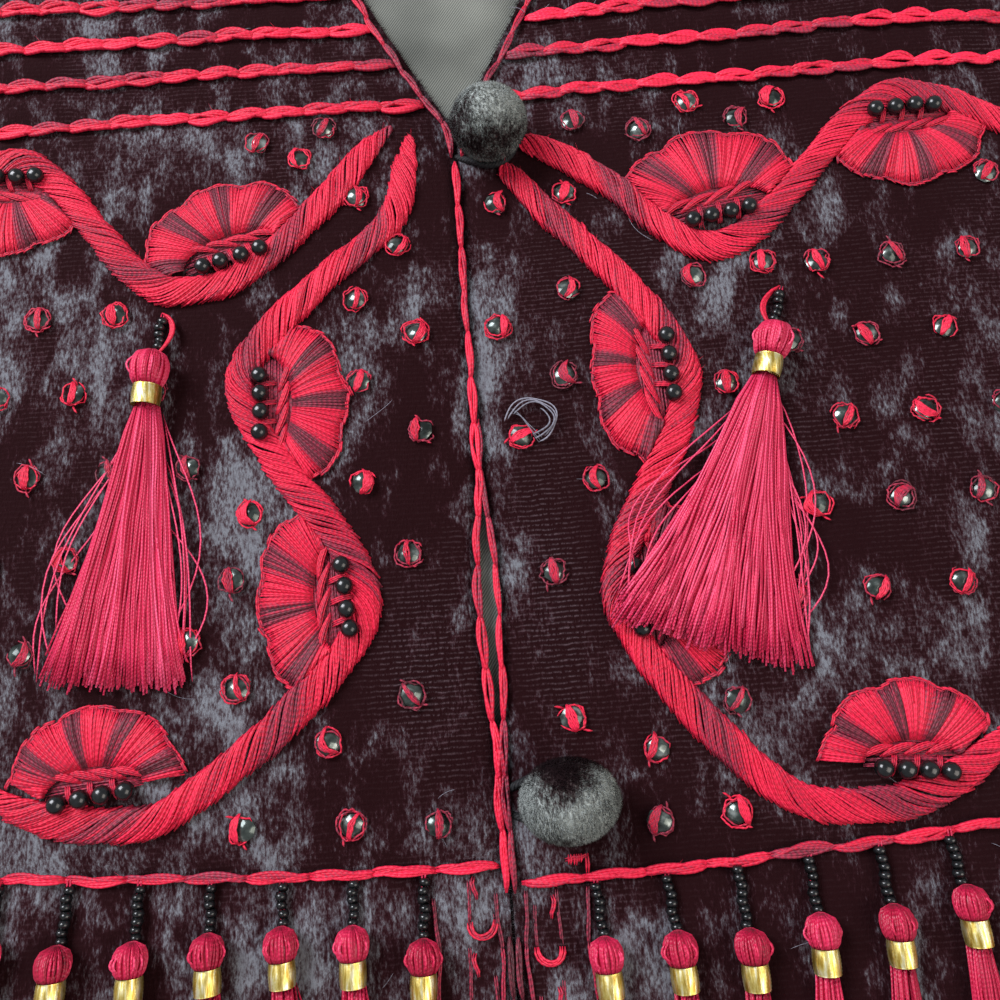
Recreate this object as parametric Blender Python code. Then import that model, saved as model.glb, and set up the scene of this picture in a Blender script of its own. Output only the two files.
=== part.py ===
"""Velvet vest with tassels and raised thread work, laid flat on its back.

The tables are in millimetres in the vest's own plan: x is across the vest, 0 at the centre
front, y runs up from the waist line, and z is the height above the surface it lies on. The
finished part has its origin at the bottom centre of its box, and its neck points to +Y.
"""

import math
from collections import namedtuple

import bmesh
import bpy
from mathutils import Vector
from mathutils.bvhtree import BVHTree

MM = 0.001

# Cloth walls and the gap that every two pieces keep.
VELVET = 2.0
LINING = 1.0
GAP = 0.3
LINING_INSET = 3.5
SEAM_TURN = 3.2

# How far the fronts belly up between their edges.
FRONT_PUFF = 2.6

Section = namedtuple("Section", "name inner_x inner_y outer_x outer_y")

# Each front runs from its inner edge (centre front, then V neck) to its outer edge
# (side seam, then armhole). The two edges open like a leaf just above the waist button.
FRONT_SKIRT = [
    Section("hem", 0.3, -95, 218, -90),
    Section("mid basque", 0.3, -46, 208, -42),
    Section("waist line", 0.3, 0, 200, 12),
    Section("leaf foot", 0.5, 24, 201, 34),
    Section("leaf belly", 2.7, 56, 206, 62),
    Section("leaf tip", 0.6, 80, 211, 88),
    Section("bust", 0.3, 124, 222, 128),
    Section("neck foot and underarm", 0.3, 168, 232, 165),
]
FRONT_YOKE = [
    Section("neck foot and underarm", 0.3, 168, 232, 165),
    Section("low armhole", 16.5, 199, 193, 176),
    Section("quarter neck", 34, 238, 163, 205),
    Section("half neck", 51, 283, 151, 250),
    Section("upper neck", 67, 332, 151, 300),
    Section("shoulder", 80, 378, 165, 350),
]

# Half of the back, from its centre line to the same side seam, with a flatter armhole.
BACK_SKIRT = [Section(row.name, 0, row.inner_y, row.outer_x, row.outer_y) for row in FRONT_SKIRT]
BACK_ARMHOLE = [
    Section("underarm", 0, 168, 232, 165),
    Section("low armhole", 0, 210, 203, 178),
    Section("mid armhole", 0, 260, 174, 208),
    Section("upper armhole", 0, 310, 161, 255),
    Section("neck centre", 0, 355, 159, 310),
]
BACK_NECK = [
    Section("neck centre", 0, 355, 159, 310),
    Section("neck side", 44, 359, 161, 328),
    Section("shoulder", 80, 378, 165, 350),
]

# Soft ridges of the fronts. Half length and half width are where a ridge has faded by two
# thirds, and heading 0 runs outward along x.
Fold = namedtuple("Fold", "side x y half_length half_width heading rise")
FOLDS = [
    Fold(1, 96, 62, 62, 17, 58, 2.4),
    Fold(1, 168, 104, 46, 15, 40, 3.1),
    Fold(1, 122, 226, 70, 19, 76, 2.6),
    Fold(1, 60, -58, 34, 9, 84, 2.2),
    Fold(1, 118, -52, 38, 11, 96, 2.9),
    Fold(1, 174, -40, 42, 12, 100, 3.2),
    Fold(1, 34, 106, 40, 11, 100, 1.3),
    Fold(-1, 88, 78, 58, 16, 66, 2.0),
    Fold(-1, 160, 92, 50, 16, 34, 3.3),
    Fold(-1, 116, 244, 66, 18, 80, 2.8),
    Fold(-1, 36, -62, 32, 9, 92, 1.9),
    Fold(-1, 92, -50, 36, 12, 80, 2.7),
    Fold(-1, 156, -46, 44, 12, 88, 3.4),
    Fold(-1, 20, 90, 44, 10, 82, 1.2),
]

# Vines: cubic curves through a few turns. Heading is the way the vine grows there, in
# degrees from +x, and pull is how long it keeps that heading.
# The two fronts were drawn by hand, so they are not quite alike: the wearer's left vines (1)
# start clear of the top button, the right ones (-1) nearer the V.
Turn = namedtuple("Turn", "x y heading pull")
UPPER_VINE = {
    1: [
        Turn(18.9, 160.4, -27, 22),
        Turn(37.5, 146.3, -50, 24),
        Turn(57.5, 131, 0, 26),
        Turn(104, 166, 0, 46),
        Turn(171, 106, -96, 64),
        Turn(149, 56, -90, 36),
        Turn(178, 26, -20, 34),
    ],
    -1: [
        Turn(14.8, 169.3, -49, 26),
        Turn(46, 136.2, -37, 28),
        Turn(66, 130, 6, 26),
        Turn(104, 166, 0, 46),
        Turn(171, 106, -96, 64),
        Turn(149, 56, -90, 36),
        Turn(178, 26, -20, 34),
    ],
}
LOWER_VINE = {
    1: [
        Turn(13.0, 152.2, -54, 30),
        Turn(46.7, 102, -86, 40),
        Turn(26.6, 54, -91, 36),
        Turn(52, 15.5, -44, 30),
        Turn(76, 9.5, 4, 26),
        Turn(104, 26, 42, 30),
    ],
    -1: [
        Turn(10.4, 167.0, -86, 24),
        Turn(19, 141.5, -42, 20),
        Turn(51.4, 107, -86, 34),
        Turn(25.2, 57, -90, 34),
        Turn(58, 22.5, -34, 36),
        Turn(78, 16.5, 4, 26),
        Turn(104, 28, 42, 30),
    ],
}
VINE_HALF_WIDTH = 3.2
VINE_TIP_HALF_WIDTH = 1.0
VINE_TAPER = 20.0
VINE_EDGE = 0.5
VINE_CROWN = 1.3
VINE_STEP = 7.5

# Raised work stands clear of the highest velvet within this distance.
CLEAR_REACH = 4.5

# Half flowers, set in the bends of the vines. Facing is the way the petals point.
# Flat is the part of the radius that is missing straight ahead.
Flower = namedtuple("Flower", "name x y facing radius flat")
OUTER_FLOWERS = [
    Flower("arch", 104, 160, -90, 20, 0.1),
    Flower("outer_bend", 165.5, 103, 186, 19.5, 0.1),
    Flower("outer_crook", 154.6, 57, 4, 19, 0.1),
]
FLOWERS = {
    1: [
        Flower("cup", 58.6, 139.6, 99, 23, 0.08),
        Flower("bend", 41.4, 102.6, 180, 23, 0.34),
        Flower("crook", 31.8, 53, 0, 22, 0.16),
        Flower("tail", 80, 16.5, 84, 18, 0.1),
    ] + OUTER_FLOWERS,
    -1: [
        Flower("cup", 52.6, 138, 73, 20.8, 0.1),
        Flower("bend", 45, 101.2, 180, 21.5, 0.18),
        Flower("crook", 30.6, 57.5, -4, 22, 0.23),
        Flower("tail", 80, 23.5, 84, 18, 0.1),
    ] + OUTER_FLOWERS,
}
FLOWER_EDGE = 0.5
FLOWER_CROWN = 1.5
FLOWER_STEPS = 14
PETALS = 4
PETAL_GROWTH = 0.5

Ring = namedtuple("Ring", "name along half_width half_height")
WAIST_TASSEL = [
    Ring("stem root", 0.0, 0.9, 0.9),
    Ring("stem end", 11.0, 1.15, 1.15),
    Ring("head top", 13.2, 3.0, 2.8),
    Ring("head foot", 16.0, 3.0, 2.8),
    Ring("band top", 17.0, 2.35, 2.3),
    Ring("band foot", 21.2, 2.35, 2.3),
]
WAIST_SKIRT = [
    Ring("flare", 30.0, 3.6, 1.9),
    Ring("tips", 56.0, 4.7, 1.2),
]
CHEST_TASSEL = [
    Ring("stem root", 0.0, 1.0, 1.0),
    Ring("stem end", 9.0, 1.2, 1.2),
    Ring("head top", 11.5, 3.9, 3.7),
    Ring("head foot", 16.0, 4.0, 3.8),
    Ring("band top", 17.4, 2.9, 2.8),
    Ring("band foot", 21.8, 2.9, 2.8),
]
CHEST_SKIRT = [
    Ring("flare", 30.0, 6.2, 2.9),
    Ring("middle", 46.0, 11.5, 2.0),
    Ring("low", 62.0, 16.5, 1.5),
    Ring("tips", 81.0, 21.0, 1.1),
]
STRAND_SHRINK = 0.76
WAIST_TASSELS_A_SIDE = 13
WAIST_TASSEL_FIRST = 16.5
WAIST_TASSEL_PITCH = 13.7
WAIST_TILT = 2.6

# The waist line rises towards the side seams, and the right front's sits a little higher.
WAIST_RISE = 0.07
WAIST_FLAT = 40.0
WAIST_LIFT = {1: 0.0, -1: 3.3}

# Bead stems of the tassels nearest the centre front; the others vary a little.
WAIST_STEMS = {1: [9.6, 9.9, 11.0], -1: [10.8, 8.0, 7.8]}

ChestTassel = namedtuple("ChestTassel", "name x y heading spread")
CHEST_TASSELS = [
    ChestTassel("left", 69.4, 117.8, -109, 1.0),
    ChestTassel("right", -68, 123, -96, 0.72),
]

Button = namedtuple("Button", "name x y half_width half_length")
BUTTONS = [
    Button("top", 8.0, 162.2, 8.8, 8.6),
    Button("waist", 12.5, 14.4, 9.7, 8.0),
]
BUTTON_SEAT = 0.9
BUTTON_SIDES = 18
BUTTON_RINGS = 8
LOOP_RADIUS = 0.8
LOOP_SIDES = 6
LOOP_STEPS = 16
LOOP_ANCHOR = -5.0
LOOP_FOOT = 1.6

MID_Y = (min(row.inner_y for row in FRONT_SKIRT) + FRONT_YOKE[-1].inner_y) / 2


def material(name, red, green, blue, roughness, metallic=0.0):
    """A plain Principled finish in linear colour."""
    made = bpy.data.materials.new(name)
    made.use_nodes = True
    shader = made.node_tree.nodes["Principled BSDF"]
    shader.inputs["Base Color"].default_value = (red, green, blue, 1.0)
    shader.inputs["Roughness"].default_value = roughness
    shader.inputs["Metallic"].default_value = metallic
    made.diffuse_color = (red, green, blue, 1.0)
    return made


def finish(name, bm, finish_material):
    """Turn a bmesh in plan millimetres into a shaded object in metres."""
    bmesh.ops.recalc_face_normals(bm, faces=bm.faces[:])
    for vertex in bm.verts:
        vertex.co = Vector((vertex.co.x, vertex.co.y - MID_Y, vertex.co.z)) * MM
    mesh = bpy.data.meshes.new(name)
    bm.to_mesh(mesh)
    bm.free()
    mesh.materials.append(finish_material)
    mesh.shade_smooth()
    mesh.set_sharp_from_angle(angle=math.radians(40))
    made = bpy.data.objects.new(name, mesh)
    bpy.context.scene.collection.objects.link(made)
    return made


class Ground:
    """The top of everything laid down so far, for what is laid on it next."""

    def __init__(self):
        self.trees = []

    def add(self, bm):
        self.trees.append(BVHTree.FromBMesh(bm))

    def height(self, x, y):
        hits = [tree.ray_cast(Vector((x, y, 200)), Vector((0, 0, -1)))[0] for tree in self.trees]
        return max([hit.z for hit in hits if hit], default=0.0)

    def clear(self, x, y, reach):
        """Highest point within reach of x, y."""
        around = [(0, 0)]
        for step in range(8):
            turn = math.tau * step / 8
            around.append((math.cos(turn), math.sin(turn)))
            around.append((0.5 * math.cos(turn), 0.5 * math.sin(turn)))
        return max(self.height(x + reach * dx, y + reach * dy) for dx, dy in around)


def blend(before, start, end, after, t):
    """Catmull-Rom value between start and end."""
    a = 2 * start
    b = end - before
    c = 2 * before - 5 * start + 4 * end - after
    d = 3 * start - before - 3 * end + after
    return (a + b * t + c * t * t + d * t ** 3) / 2


def smooth_sections(table, steps):
    """Resample a section table along smooth edges, steps to each pair of rows."""
    rows = [row[1:] for row in table]
    ahead = [[2 * a - b for a, b in zip(rows[0], rows[1])]]
    behind = [[2 * a - b for a, b in zip(rows[-1], rows[-2])]]
    padded = ahead + [list(row) for row in rows] + behind
    out = []
    for index in range(1, len(rows)):
        for step in range(steps):
            t = step / steps
            out.append([blend(*values, t) for values in zip(*padded[index - 1:index + 3])])
    out.append(list(rows[-1]))
    return out


def waist_y(side, x):
    return WAIST_RISE * (math.hypot(x, WAIST_FLAT) - WAIST_FLAT) + WAIST_LIFT[side]


def waist_stem(side, number):
    """Length of a waist tassel's bead stem."""
    if number < len(WAIST_STEMS[side]):
        return WAIST_STEMS[side][number]
    return 9.6 + 0.9 * math.sin(1.9 * number + side)


def ridge(fold, x, y):
    heading = math.radians(fold.heading)
    dx = x - fold.x
    dy = y - fold.y
    along = dx * math.cos(heading) + dy * math.sin(heading)
    across = dy * math.cos(heading) - dx * math.sin(heading)
    return fold.rise * math.exp(-((along / fold.half_length) ** 2) - (across / fold.half_width) ** 2)


def front_height(side, x, y, across):
    """Height of a front's underside away from its sewn seams."""
    belly = FRONT_PUFF * math.sin(math.pi * min(max(across, 0.0), 1.0)) ** 0.8
    folds = sum(ridge(fold, x, y) for fold in FOLDS if fold.side == side)
    pinch = 1 - 0.55 * math.exp(-(((y - waist_y(side, x)) / 9) ** 2))
    return VELVET + GAP + LINING + GAP + (belly + folds) * pinch


def front(name, side, columns, velvet, ground):
    """One front: a wall of velvet over a ruled grid between its inner and outer edges."""
    skirt = smooth_sections(FRONT_SKIRT, 2)
    yoke = smooth_sections(FRONT_YOKE, 2)
    rows = skirt + yoke[1:]
    shoulder = rows[-1]
    before = rows[-2]
    drop = SEAM_TURN / math.dist(shoulder[:2], before[:2])
    rows.insert(-1, [a + (b - a) * drop for a, b in zip(shoulder, before)])
    bm = bmesh.new()
    grid = []
    for number, (inner_x, inner_y, outer_x, outer_y) in enumerate(rows):
        width = math.dist((inner_x, inner_y), (outer_x, outer_y))
        turn = 1 - SEAM_TURN / width
        line = []
        for column in range(columns + 1):
            across = turn * column / (columns - 1) if column < columns else 1.0
            x = inner_x + (outer_x - inner_x) * across
            y = inner_y + (outer_y - inner_y) * across
            sewn_side = column == columns and number < len(skirt)
            sewn_shoulder = number == len(rows) - 1
            z = front_height(side, x, y, across)
            if sewn_side or sewn_shoulder:
                z = VELVET + GAP
            line.append(bm.verts.new((side * x, y, z)))
        grid.append(line)
    for low, high in zip(grid, grid[1:]):
        for a, b, c, d in zip(low, low[1:], high[1:], high):
            bm.faces.new((a, b, c, d))
    raised = bmesh.ops.extrude_face_region(bm, geom=bm.faces[:])
    for item in raised["geom"]:
        if isinstance(item, bmesh.types.BMVert):
            item.co.z += VELVET
    bmesh.ops.recalc_face_normals(bm, faces=bm.faces[:])
    bmesh.ops.triangulate(bm, faces=bm.faces[:])
    ground.add(bm)
    return finish(name, bm, velvet)


def back_outline():
    """The back's edge in plan, anticlockwise from the middle of the hem."""
    skirt = smooth_sections(BACK_SKIRT, 2)
    armhole = smooth_sections(BACK_ARMHOLE, 4)
    neck = smooth_sections(BACK_NECK, 4)
    half = [(outer_x, outer_y) for _, _, outer_x, outer_y in skirt + armhole[1:] + neck[1:]]
    half += [(inner_x, inner_y) for inner_x, inner_y, _, _ in reversed(neck)]
    hem = (0.0, BACK_SKIRT[0].inner_y)
    right = [hem] + half
    left = [(-x, y) for x, y in reversed(right[1:-1])]
    return right + left


def inset_outline(points, inset):
    """The same edge, moved inward by inset with its corners kept."""
    out = []
    count = len(points)
    for index, (x, y) in enumerate(points):
        before = Vector((x, y)) - Vector(points[index - 1])
        after = Vector(points[(index + 1) % count]) - Vector((x, y))
        inward = Vector((-before.y, before.x)).normalized() + Vector((-after.y, after.x)).normalized()
        inward.normalize()
        spread = max(0.5, inward.dot(Vector((-after.y, after.x)).normalized()))
        out.append((x + inward.x * inset / spread, y + inward.y * inset / spread))
    return out


def flat_piece(name, outline, bottom, thickness, finish_material):
    """A flat piece of cloth of even thickness."""
    bm = bmesh.new()
    face = bm.faces.new([bm.verts.new((x, y, bottom)) for x, y in outline])
    raised = bmesh.ops.extrude_face_region(bm, geom=[face])
    for item in raised["geom"]:
        if isinstance(item, bmesh.types.BMVert):
            item.co.z += thickness
    bmesh.ops.recalc_face_normals(bm, faces=bm.faces[:])
    bmesh.ops.triangulate(bm, faces=bm.faces[:])
    return finish(name, bm, finish_material)


def vine_line(turns, stitch=VINE_STEP):
    """Points and headings along a vine, at even steps."""
    fine = []
    for start, end in zip(turns, turns[1:]):
        a = Vector((start.x, start.y))
        d = Vector((end.x, end.y))
        pull = (start.pull + end.pull) / 6
        leave = math.radians(start.heading)
        arrive = math.radians(end.heading)
        b = a + pull * Vector((math.cos(leave), math.sin(leave)))
        c = d - pull * Vector((math.cos(arrive), math.sin(arrive)))
        for step in range(40):
            t = step / 40
            u = 1 - t
            fine.append(u ** 3 * a + 3 * u * u * t * b + 3 * u * t * t * c + t ** 3 * d)
    fine.append(Vector((turns[-1].x, turns[-1].y)))
    lengths = [0.0]
    for a, b in zip(fine, fine[1:]):
        lengths.append(lengths[-1] + (b - a).length)
    count = round(lengths[-1] / stitch)
    out = []
    index = 0
    for step in range(count + 1):
        reach = lengths[-1] * step / count
        while index < len(fine) - 2 and lengths[index + 1] < reach:
            index += 1
        part = (reach - lengths[index]) / (lengths[index + 1] - lengths[index])
        point = fine[index].lerp(fine[index + 1], part)
        heading = (fine[index + 1] - fine[index]).normalized()
        out.append((point, heading, reach, lengths[-1]))
    return out


def vine(name, side, turns, thread, ground):
    """A band of satin stitch: a crowned strip that follows the front just above it."""
    bm = bmesh.new()
    rings = []
    for point, heading, reach, total in vine_line(turns):
        taper = min(1.0, reach / VINE_TAPER, (total - reach) / VINE_TAPER)
        half = VINE_TIP_HALF_WIDTH + (VINE_HALF_WIDTH - VINE_TIP_HALF_WIDTH) * taper
        ring = []
        for across, lift in ((-1, 0), (-1, VINE_EDGE), (0, VINE_CROWN), (1, VINE_EDGE), (1, 0), (0, 0)):
            x = side * (point.x - across * half * heading.y)
            y = point.y + across * half * heading.x
            z = ground.clear(x, y, CLEAR_REACH) + GAP + lift
            ring.append(bm.verts.new((x, y, z)))
        rings.append(ring)
    for low, high in zip(rings, rings[1:]):
        for index in range(len(low)):
            after = (index + 1) % len(low)
            bm.faces.new((low[index], low[after], high[after], high[index]))
    bm.faces.new(rings[0])
    bm.faces.new(rings[-1])
    bmesh.ops.triangulate(bm, faces=bm.faces[:])
    return name, bm, thread


def petal_reach(spec, angle, wanted, vines):
    """How far a petal grows before it comes to the band of a vine."""
    keep = VINE_HALF_WIDTH + 4 * GAP
    heading = Vector((math.cos(angle), math.sin(angle)))
    reach = 0.0
    while reach < wanted:
        tip = Vector((spec.x, spec.y)) + (reach + PETAL_GROWTH) * heading
        if min((tip - point).length for point in vines) < keep:
            break
        reach += PETAL_GROWTH
    return min(reach, wanted)


def flower(name, side, spec, vines, thread, ground):
    """A half flower: a scalloped fan of stitches, highest midway to its petals."""
    facing = math.radians(spec.facing)
    edge = []
    for step in range(FLOWER_STEPS + 1):
        angle = math.pi * (step / FLOWER_STEPS - 0.5)
        scallop = 0.92 + 0.08 * abs(math.cos(PETALS * angle)) ** 0.7
        reach = spec.radius * scallop * (1 - spec.flat * math.cos(angle) ** 2)
        edge.append((facing + angle, petal_reach(spec, facing + angle, reach, vines)))
    bm = bmesh.new()

    def place(angle, reach, lift):
        x = side * (spec.x + reach * math.cos(angle))
        y = spec.y + reach * math.sin(angle)
        return bm.verts.new((x, y, ground.clear(x, y, CLEAR_REACH) + GAP + lift))

    under = [place(angle, reach, 0) for angle, reach in edge]
    rim = [place(angle, reach, FLOWER_EDGE) for angle, reach in edge]
    crown = [place(angle, 0.62 * reach, FLOWER_CROWN) for angle, reach in edge]
    heart_under = place(facing, 0, 0)
    heart = place(facing, 0, FLOWER_EDGE)
    for index in range(FLOWER_STEPS):
        bm.faces.new((heart_under, under[index], under[index + 1]))
        bm.faces.new((under[index], rim[index], rim[index + 1], under[index + 1]))
        bm.faces.new((rim[index], crown[index], crown[index + 1], rim[index + 1]))
        bm.faces.new((crown[index], heart, crown[index + 1]))
    bm.faces.new((heart_under, heart, crown[0], rim[0], under[0]))
    bm.faces.new((heart_under, under[-1], rim[-1], crown[-1], heart))
    bmesh.ops.triangulate(bm, faces=bm.faces[:])
    return name, bm, thread


def cap_cells(sides, rings):
    """Cells of a round bundle: unit points, outer ring first, and one polygon a strand."""
    points = []
    for ring in range(rings):
        radius = 1 - ring / rings
        for step in range(sides):
            turn = math.tau * (step + 0.5) / sides
            points.append((radius * math.cos(turn), radius * math.sin(turn)))
    centre = len(points)
    points.append((0.0, 0.0))
    cells = []
    for ring in range(rings):
        for step in range(sides):
            a = ring * sides + step
            b = ring * sides + (step + 1) % sides
            inner = (centre,) if ring == rings - 1 else (b + sides, a + sides)
            cells.append((a, b) + inner)
    return points, cells


def tassel(name, root, heading, body, skirt, sides, rings, thread, ground):
    """Bead stem, head and band in one, with the skirt's strands growing out of its foot.

    Every strand is a cell of the same round bundle, stretched sideways and flattened as it
    falls, so that no two strands cross. The bundle rides over what lies under it.
    """
    turn = math.radians(heading)
    ahead = Vector((math.cos(turn), math.sin(turn)))
    aside = Vector((math.sin(turn), -math.cos(turn)))
    stations = body + skirt
    floors = []
    for index, ring in enumerate(stations):
        start = stations[max(index - 1, 0)].along
        end = stations[min(index + 1, len(stations) - 1)].along
        wide = max(stations[near].half_width for near in (index, min(index + 1, len(stations) - 1)))
        highest = 0.0
        for step in range(9):
            along = ring.along + (start - ring.along) * 0.55 * step / 8
            further = ring.along + (end - ring.along) * 0.55 * step / 8
            for part in (-1, -0.66, -0.33, 0, 0.33, 0.66, 1):
                for reach in (along, further):
                    spot = Vector(root) + ahead * reach + aside * part * (wide + 0.5)
                    highest = max(highest, ground.height(spot.x, spot.y))
        floors.append(highest + GAP)

    bm = bmesh.new()

    def place(station, unit, along):
        ring = stations[station]
        spot = Vector(root) + ahead * along + aside * unit[0] * ring.half_width
        return bm.verts.new((spot.x, spot.y, floors[station] + ring.half_height * (1 + unit[1])))

    points, cells = cap_cells(sides, rings)
    loops = []
    for station, ring in enumerate(body):
        loops.append([place(station, unit, ring.along) for unit in points[:sides]])
    for low, high in zip(loops, loops[1:]):
        for index in range(sides):
            after = (index + 1) % sides
            bm.faces.new((low[index], low[after], high[after], high[index]))
    bm.faces.new(loops[0])
    foot = len(body) - 1
    cap = loops[-1] + [place(foot, unit, body[-1].along) for unit in points[sides:]]
    for number, cell in enumerate(cells):
        middle = [sum(points[i][axis] for i in cell) / len(cell) for axis in (0, 1)]
        small = [
            [middle[axis] + (points[i][axis] - middle[axis]) * STRAND_SHRINK for axis in (0, 1)]
            for i in cell
        ]
        trim = 1 + 0.03 * math.sin(2.4 * number)
        lower = [cap[i] for i in cell]
        upper = [place(foot, unit, body[-1].along) for unit in small]
        for station in range(foot, len(stations)):
            if station > foot:
                last = station == len(stations) - 1
                along = stations[station].along * (trim if last else 1.0)
                lower = upper
                upper = [place(station, unit, along) for unit in small]
            for index in range(len(cell)):
                after = (index + 1) % len(cell)
                bm.faces.new((lower[index], lower[after], upper[after], upper[index]))
        bm.faces.new(upper)
    bmesh.ops.triangulate(bm, faces=bm.faces[:])
    return finish(name, bm, thread)


def button_radius(spec, lift):
    """Half width of a ball at a height above its seat."""
    down = BUTTON_SEAT * spec.half_length - lift
    return spec.half_width * math.sqrt(max(0.0, 1 - (down / spec.half_length) ** 2))


def button(spec, velvet, ground):
    """A cloth-covered ball, pressed flat where it sits on the front."""
    seat = ground.clear(spec.x, spec.y, 4.5) + GAP
    lowest = -math.asin(BUTTON_SEAT)
    bm = bmesh.new()
    rings = []
    for ring in range(BUTTON_RINGS):
        tilt = lowest + (math.pi / 2 - lowest) * ring / BUTTON_RINGS
        rise = spec.half_length * (math.sin(tilt) + BUTTON_SEAT)
        loop = []
        for step in range(BUTTON_SIDES):
            turn = math.tau * step / BUTTON_SIDES
            x = spec.x + spec.half_width * math.cos(tilt) * math.cos(turn)
            y = spec.y + spec.half_length * math.cos(tilt) * math.sin(turn)
            loop.append(bm.verts.new((x, y, seat + rise)))
        rings.append(loop)
    top = bm.verts.new((spec.x, spec.y, seat + spec.half_length * (1 + BUTTON_SEAT)))
    for low, high in zip(rings, rings[1:]):
        for index in range(BUTTON_SIDES):
            after = (index + 1) % BUTTON_SIDES
            bm.faces.new((low[index], low[after], high[after], high[index]))
    for index in range(BUTTON_SIDES):
        bm.faces.new((rings[-1][index], rings[-1][(index + 1) % BUTTON_SIDES], top))
    bm.faces.new(rings[0])
    bmesh.ops.triangulate(bm, faces=bm.faces[:])
    return finish("button_" + spec.name, bm, velvet)


def loop(spec, cord, ground):
    """The cord loop: from the right front's edge, round the ball's foot, and back."""
    reach = button_radius(spec, 3.0) + GAP + LOOP_RADIUS
    route = [Vector((LOOP_ANCHOR, spec.y + LOOP_FOOT))]
    for step in range(LOOP_STEPS + 1):
        turn = math.radians(125 - 250 * step / LOOP_STEPS)
        route.append(Vector((spec.x + reach * math.cos(turn), spec.y + reach * math.sin(turn))))
    route.append(Vector((LOOP_ANCHOR, spec.y - LOOP_FOOT)))
    lift = [ground.clear(p.x, p.y, 2.0) + GAP + LOOP_RADIUS for p in route]
    bm = bmesh.new()
    rings = []
    for index, point in enumerate(route):
        ahead = route[min(index + 1, len(route) - 1)] - route[max(index - 1, 0)]
        ahead.normalize()
        aside = Vector((ahead.y, -ahead.x))
        ring = []
        for step in range(LOOP_SIDES):
            turn = math.tau * step / LOOP_SIDES
            spot = point + aside * LOOP_RADIUS * math.cos(turn)
            ring.append(bm.verts.new((spot.x, spot.y, lift[index] + LOOP_RADIUS * math.sin(turn))))
        rings.append(ring)
    for low, high in zip(rings, rings[1:]):
        for index in range(LOOP_SIDES):
            after = (index + 1) % LOOP_SIDES
            bm.faces.new((low[index], low[after], high[after], high[index]))
    bm.faces.new(rings[0])
    bm.faces.new(rings[-1])
    bmesh.ops.triangulate(bm, faces=bm.faces[:])
    return finish("loop_" + spec.name, bm, cord)


def build():
    for old in list(bpy.data.objects):
        bpy.data.objects.remove(old)
    velvet = material("crushed velvet", 0.016, 0.006, 0.009, 0.8)
    twill = material("lining twill", 0.16, 0.19, 0.185, 0.6)
    thread = material("crimson satin thread", 0.56, 0.012, 0.045, 0.5)
    silk = material("crimson tassel silk", 0.44, 0.014, 0.04, 0.45)
    cord = material("black loop cord", 0.01, 0.01, 0.011, 0.7)

    outline = back_outline()
    flat_piece("back", outline, 0.0, VELVET, velvet)
    flat_piece("back_lining", inset_outline(outline, LINING_INSET), VELVET + GAP, LINING, twill)

    ground = Ground()
    front("front_left", 1, 14, velvet, ground)
    front("front_right", -1, 14, velvet, ground)

    worked = []
    for side, hand in ((1, "left"), (-1, "right")):
        upper = UPPER_VINE[side]
        lower = LOWER_VINE[side]
        vines = [row[0] for turns in (upper, lower) for row in vine_line(turns, 2.0)]
        worked.append(vine("vine_upper_" + hand, side, upper, thread, ground))
        worked.append(vine("vine_lower_" + hand, side, lower, thread, ground))
        for spec in FLOWERS[side]:
            worked.append(flower("flower_" + spec.name + "_" + hand, side, spec, vines, thread, ground))
    for spec in BUTTONS:
        button(spec, velvet, ground)
        loop(spec, cord, ground)
    for name, bm, finish_material in worked:
        ground.add(bm)
        finish(name, bm, finish_material)

    for spec in CHEST_TASSELS:
        skirt = [ring._replace(half_width=ring.half_width * spec.spread) for ring in CHEST_SKIRT]
        root = (spec.x, spec.y)
        name = "tassel_chest_" + spec.name
        tassel(name, root, spec.heading, CHEST_TASSEL, skirt, 14, 2, silk, ground)
    for side, hand in ((1, "left"), (-1, "right")):
        for number in range(WAIST_TASSELS_A_SIDE):
            x = side * (WAIST_TASSEL_FIRST + WAIST_TASSEL_PITCH * number)
            heading = -90 + WAIST_TILT * math.sin(1.1 * number + side)
            name = "tassel_waist_" + hand + "_" + format(number + 1, "02d")
            root = (x, waist_y(side, x) - 1.0)
            shift = waist_stem(side, number) - WAIST_TASSEL[1].along
            body = [ring._replace(along=ring.along + shift) for ring in WAIST_TASSEL[1:]]
            skirt = [ring._replace(along=ring.along + shift) for ring in WAIST_SKIRT]
            tassel(name, root, heading, WAIST_TASSEL[:1] + body, skirt, 6, 1, silk, ground)


build()
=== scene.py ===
# %% [markdown]
# # A velvet vest, laid flat
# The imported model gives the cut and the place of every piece. This lesson dresses it: crushed
# velvet with a pile, thread work that is really made of threads, mirrors, beads and silk tassels.
# Everything is in metres in the model's own frame, and the thread work is laid out in
# millimetres on the vest's plan, where x is 0 at the centre front and y is 0 at the waist line.

# %% Load the frame
import math

import bmesh
import bpy
import numpy as np
from mathutils import Matrix, Vector, noise
from mathutils.bvhtree import BVHTree


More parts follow.
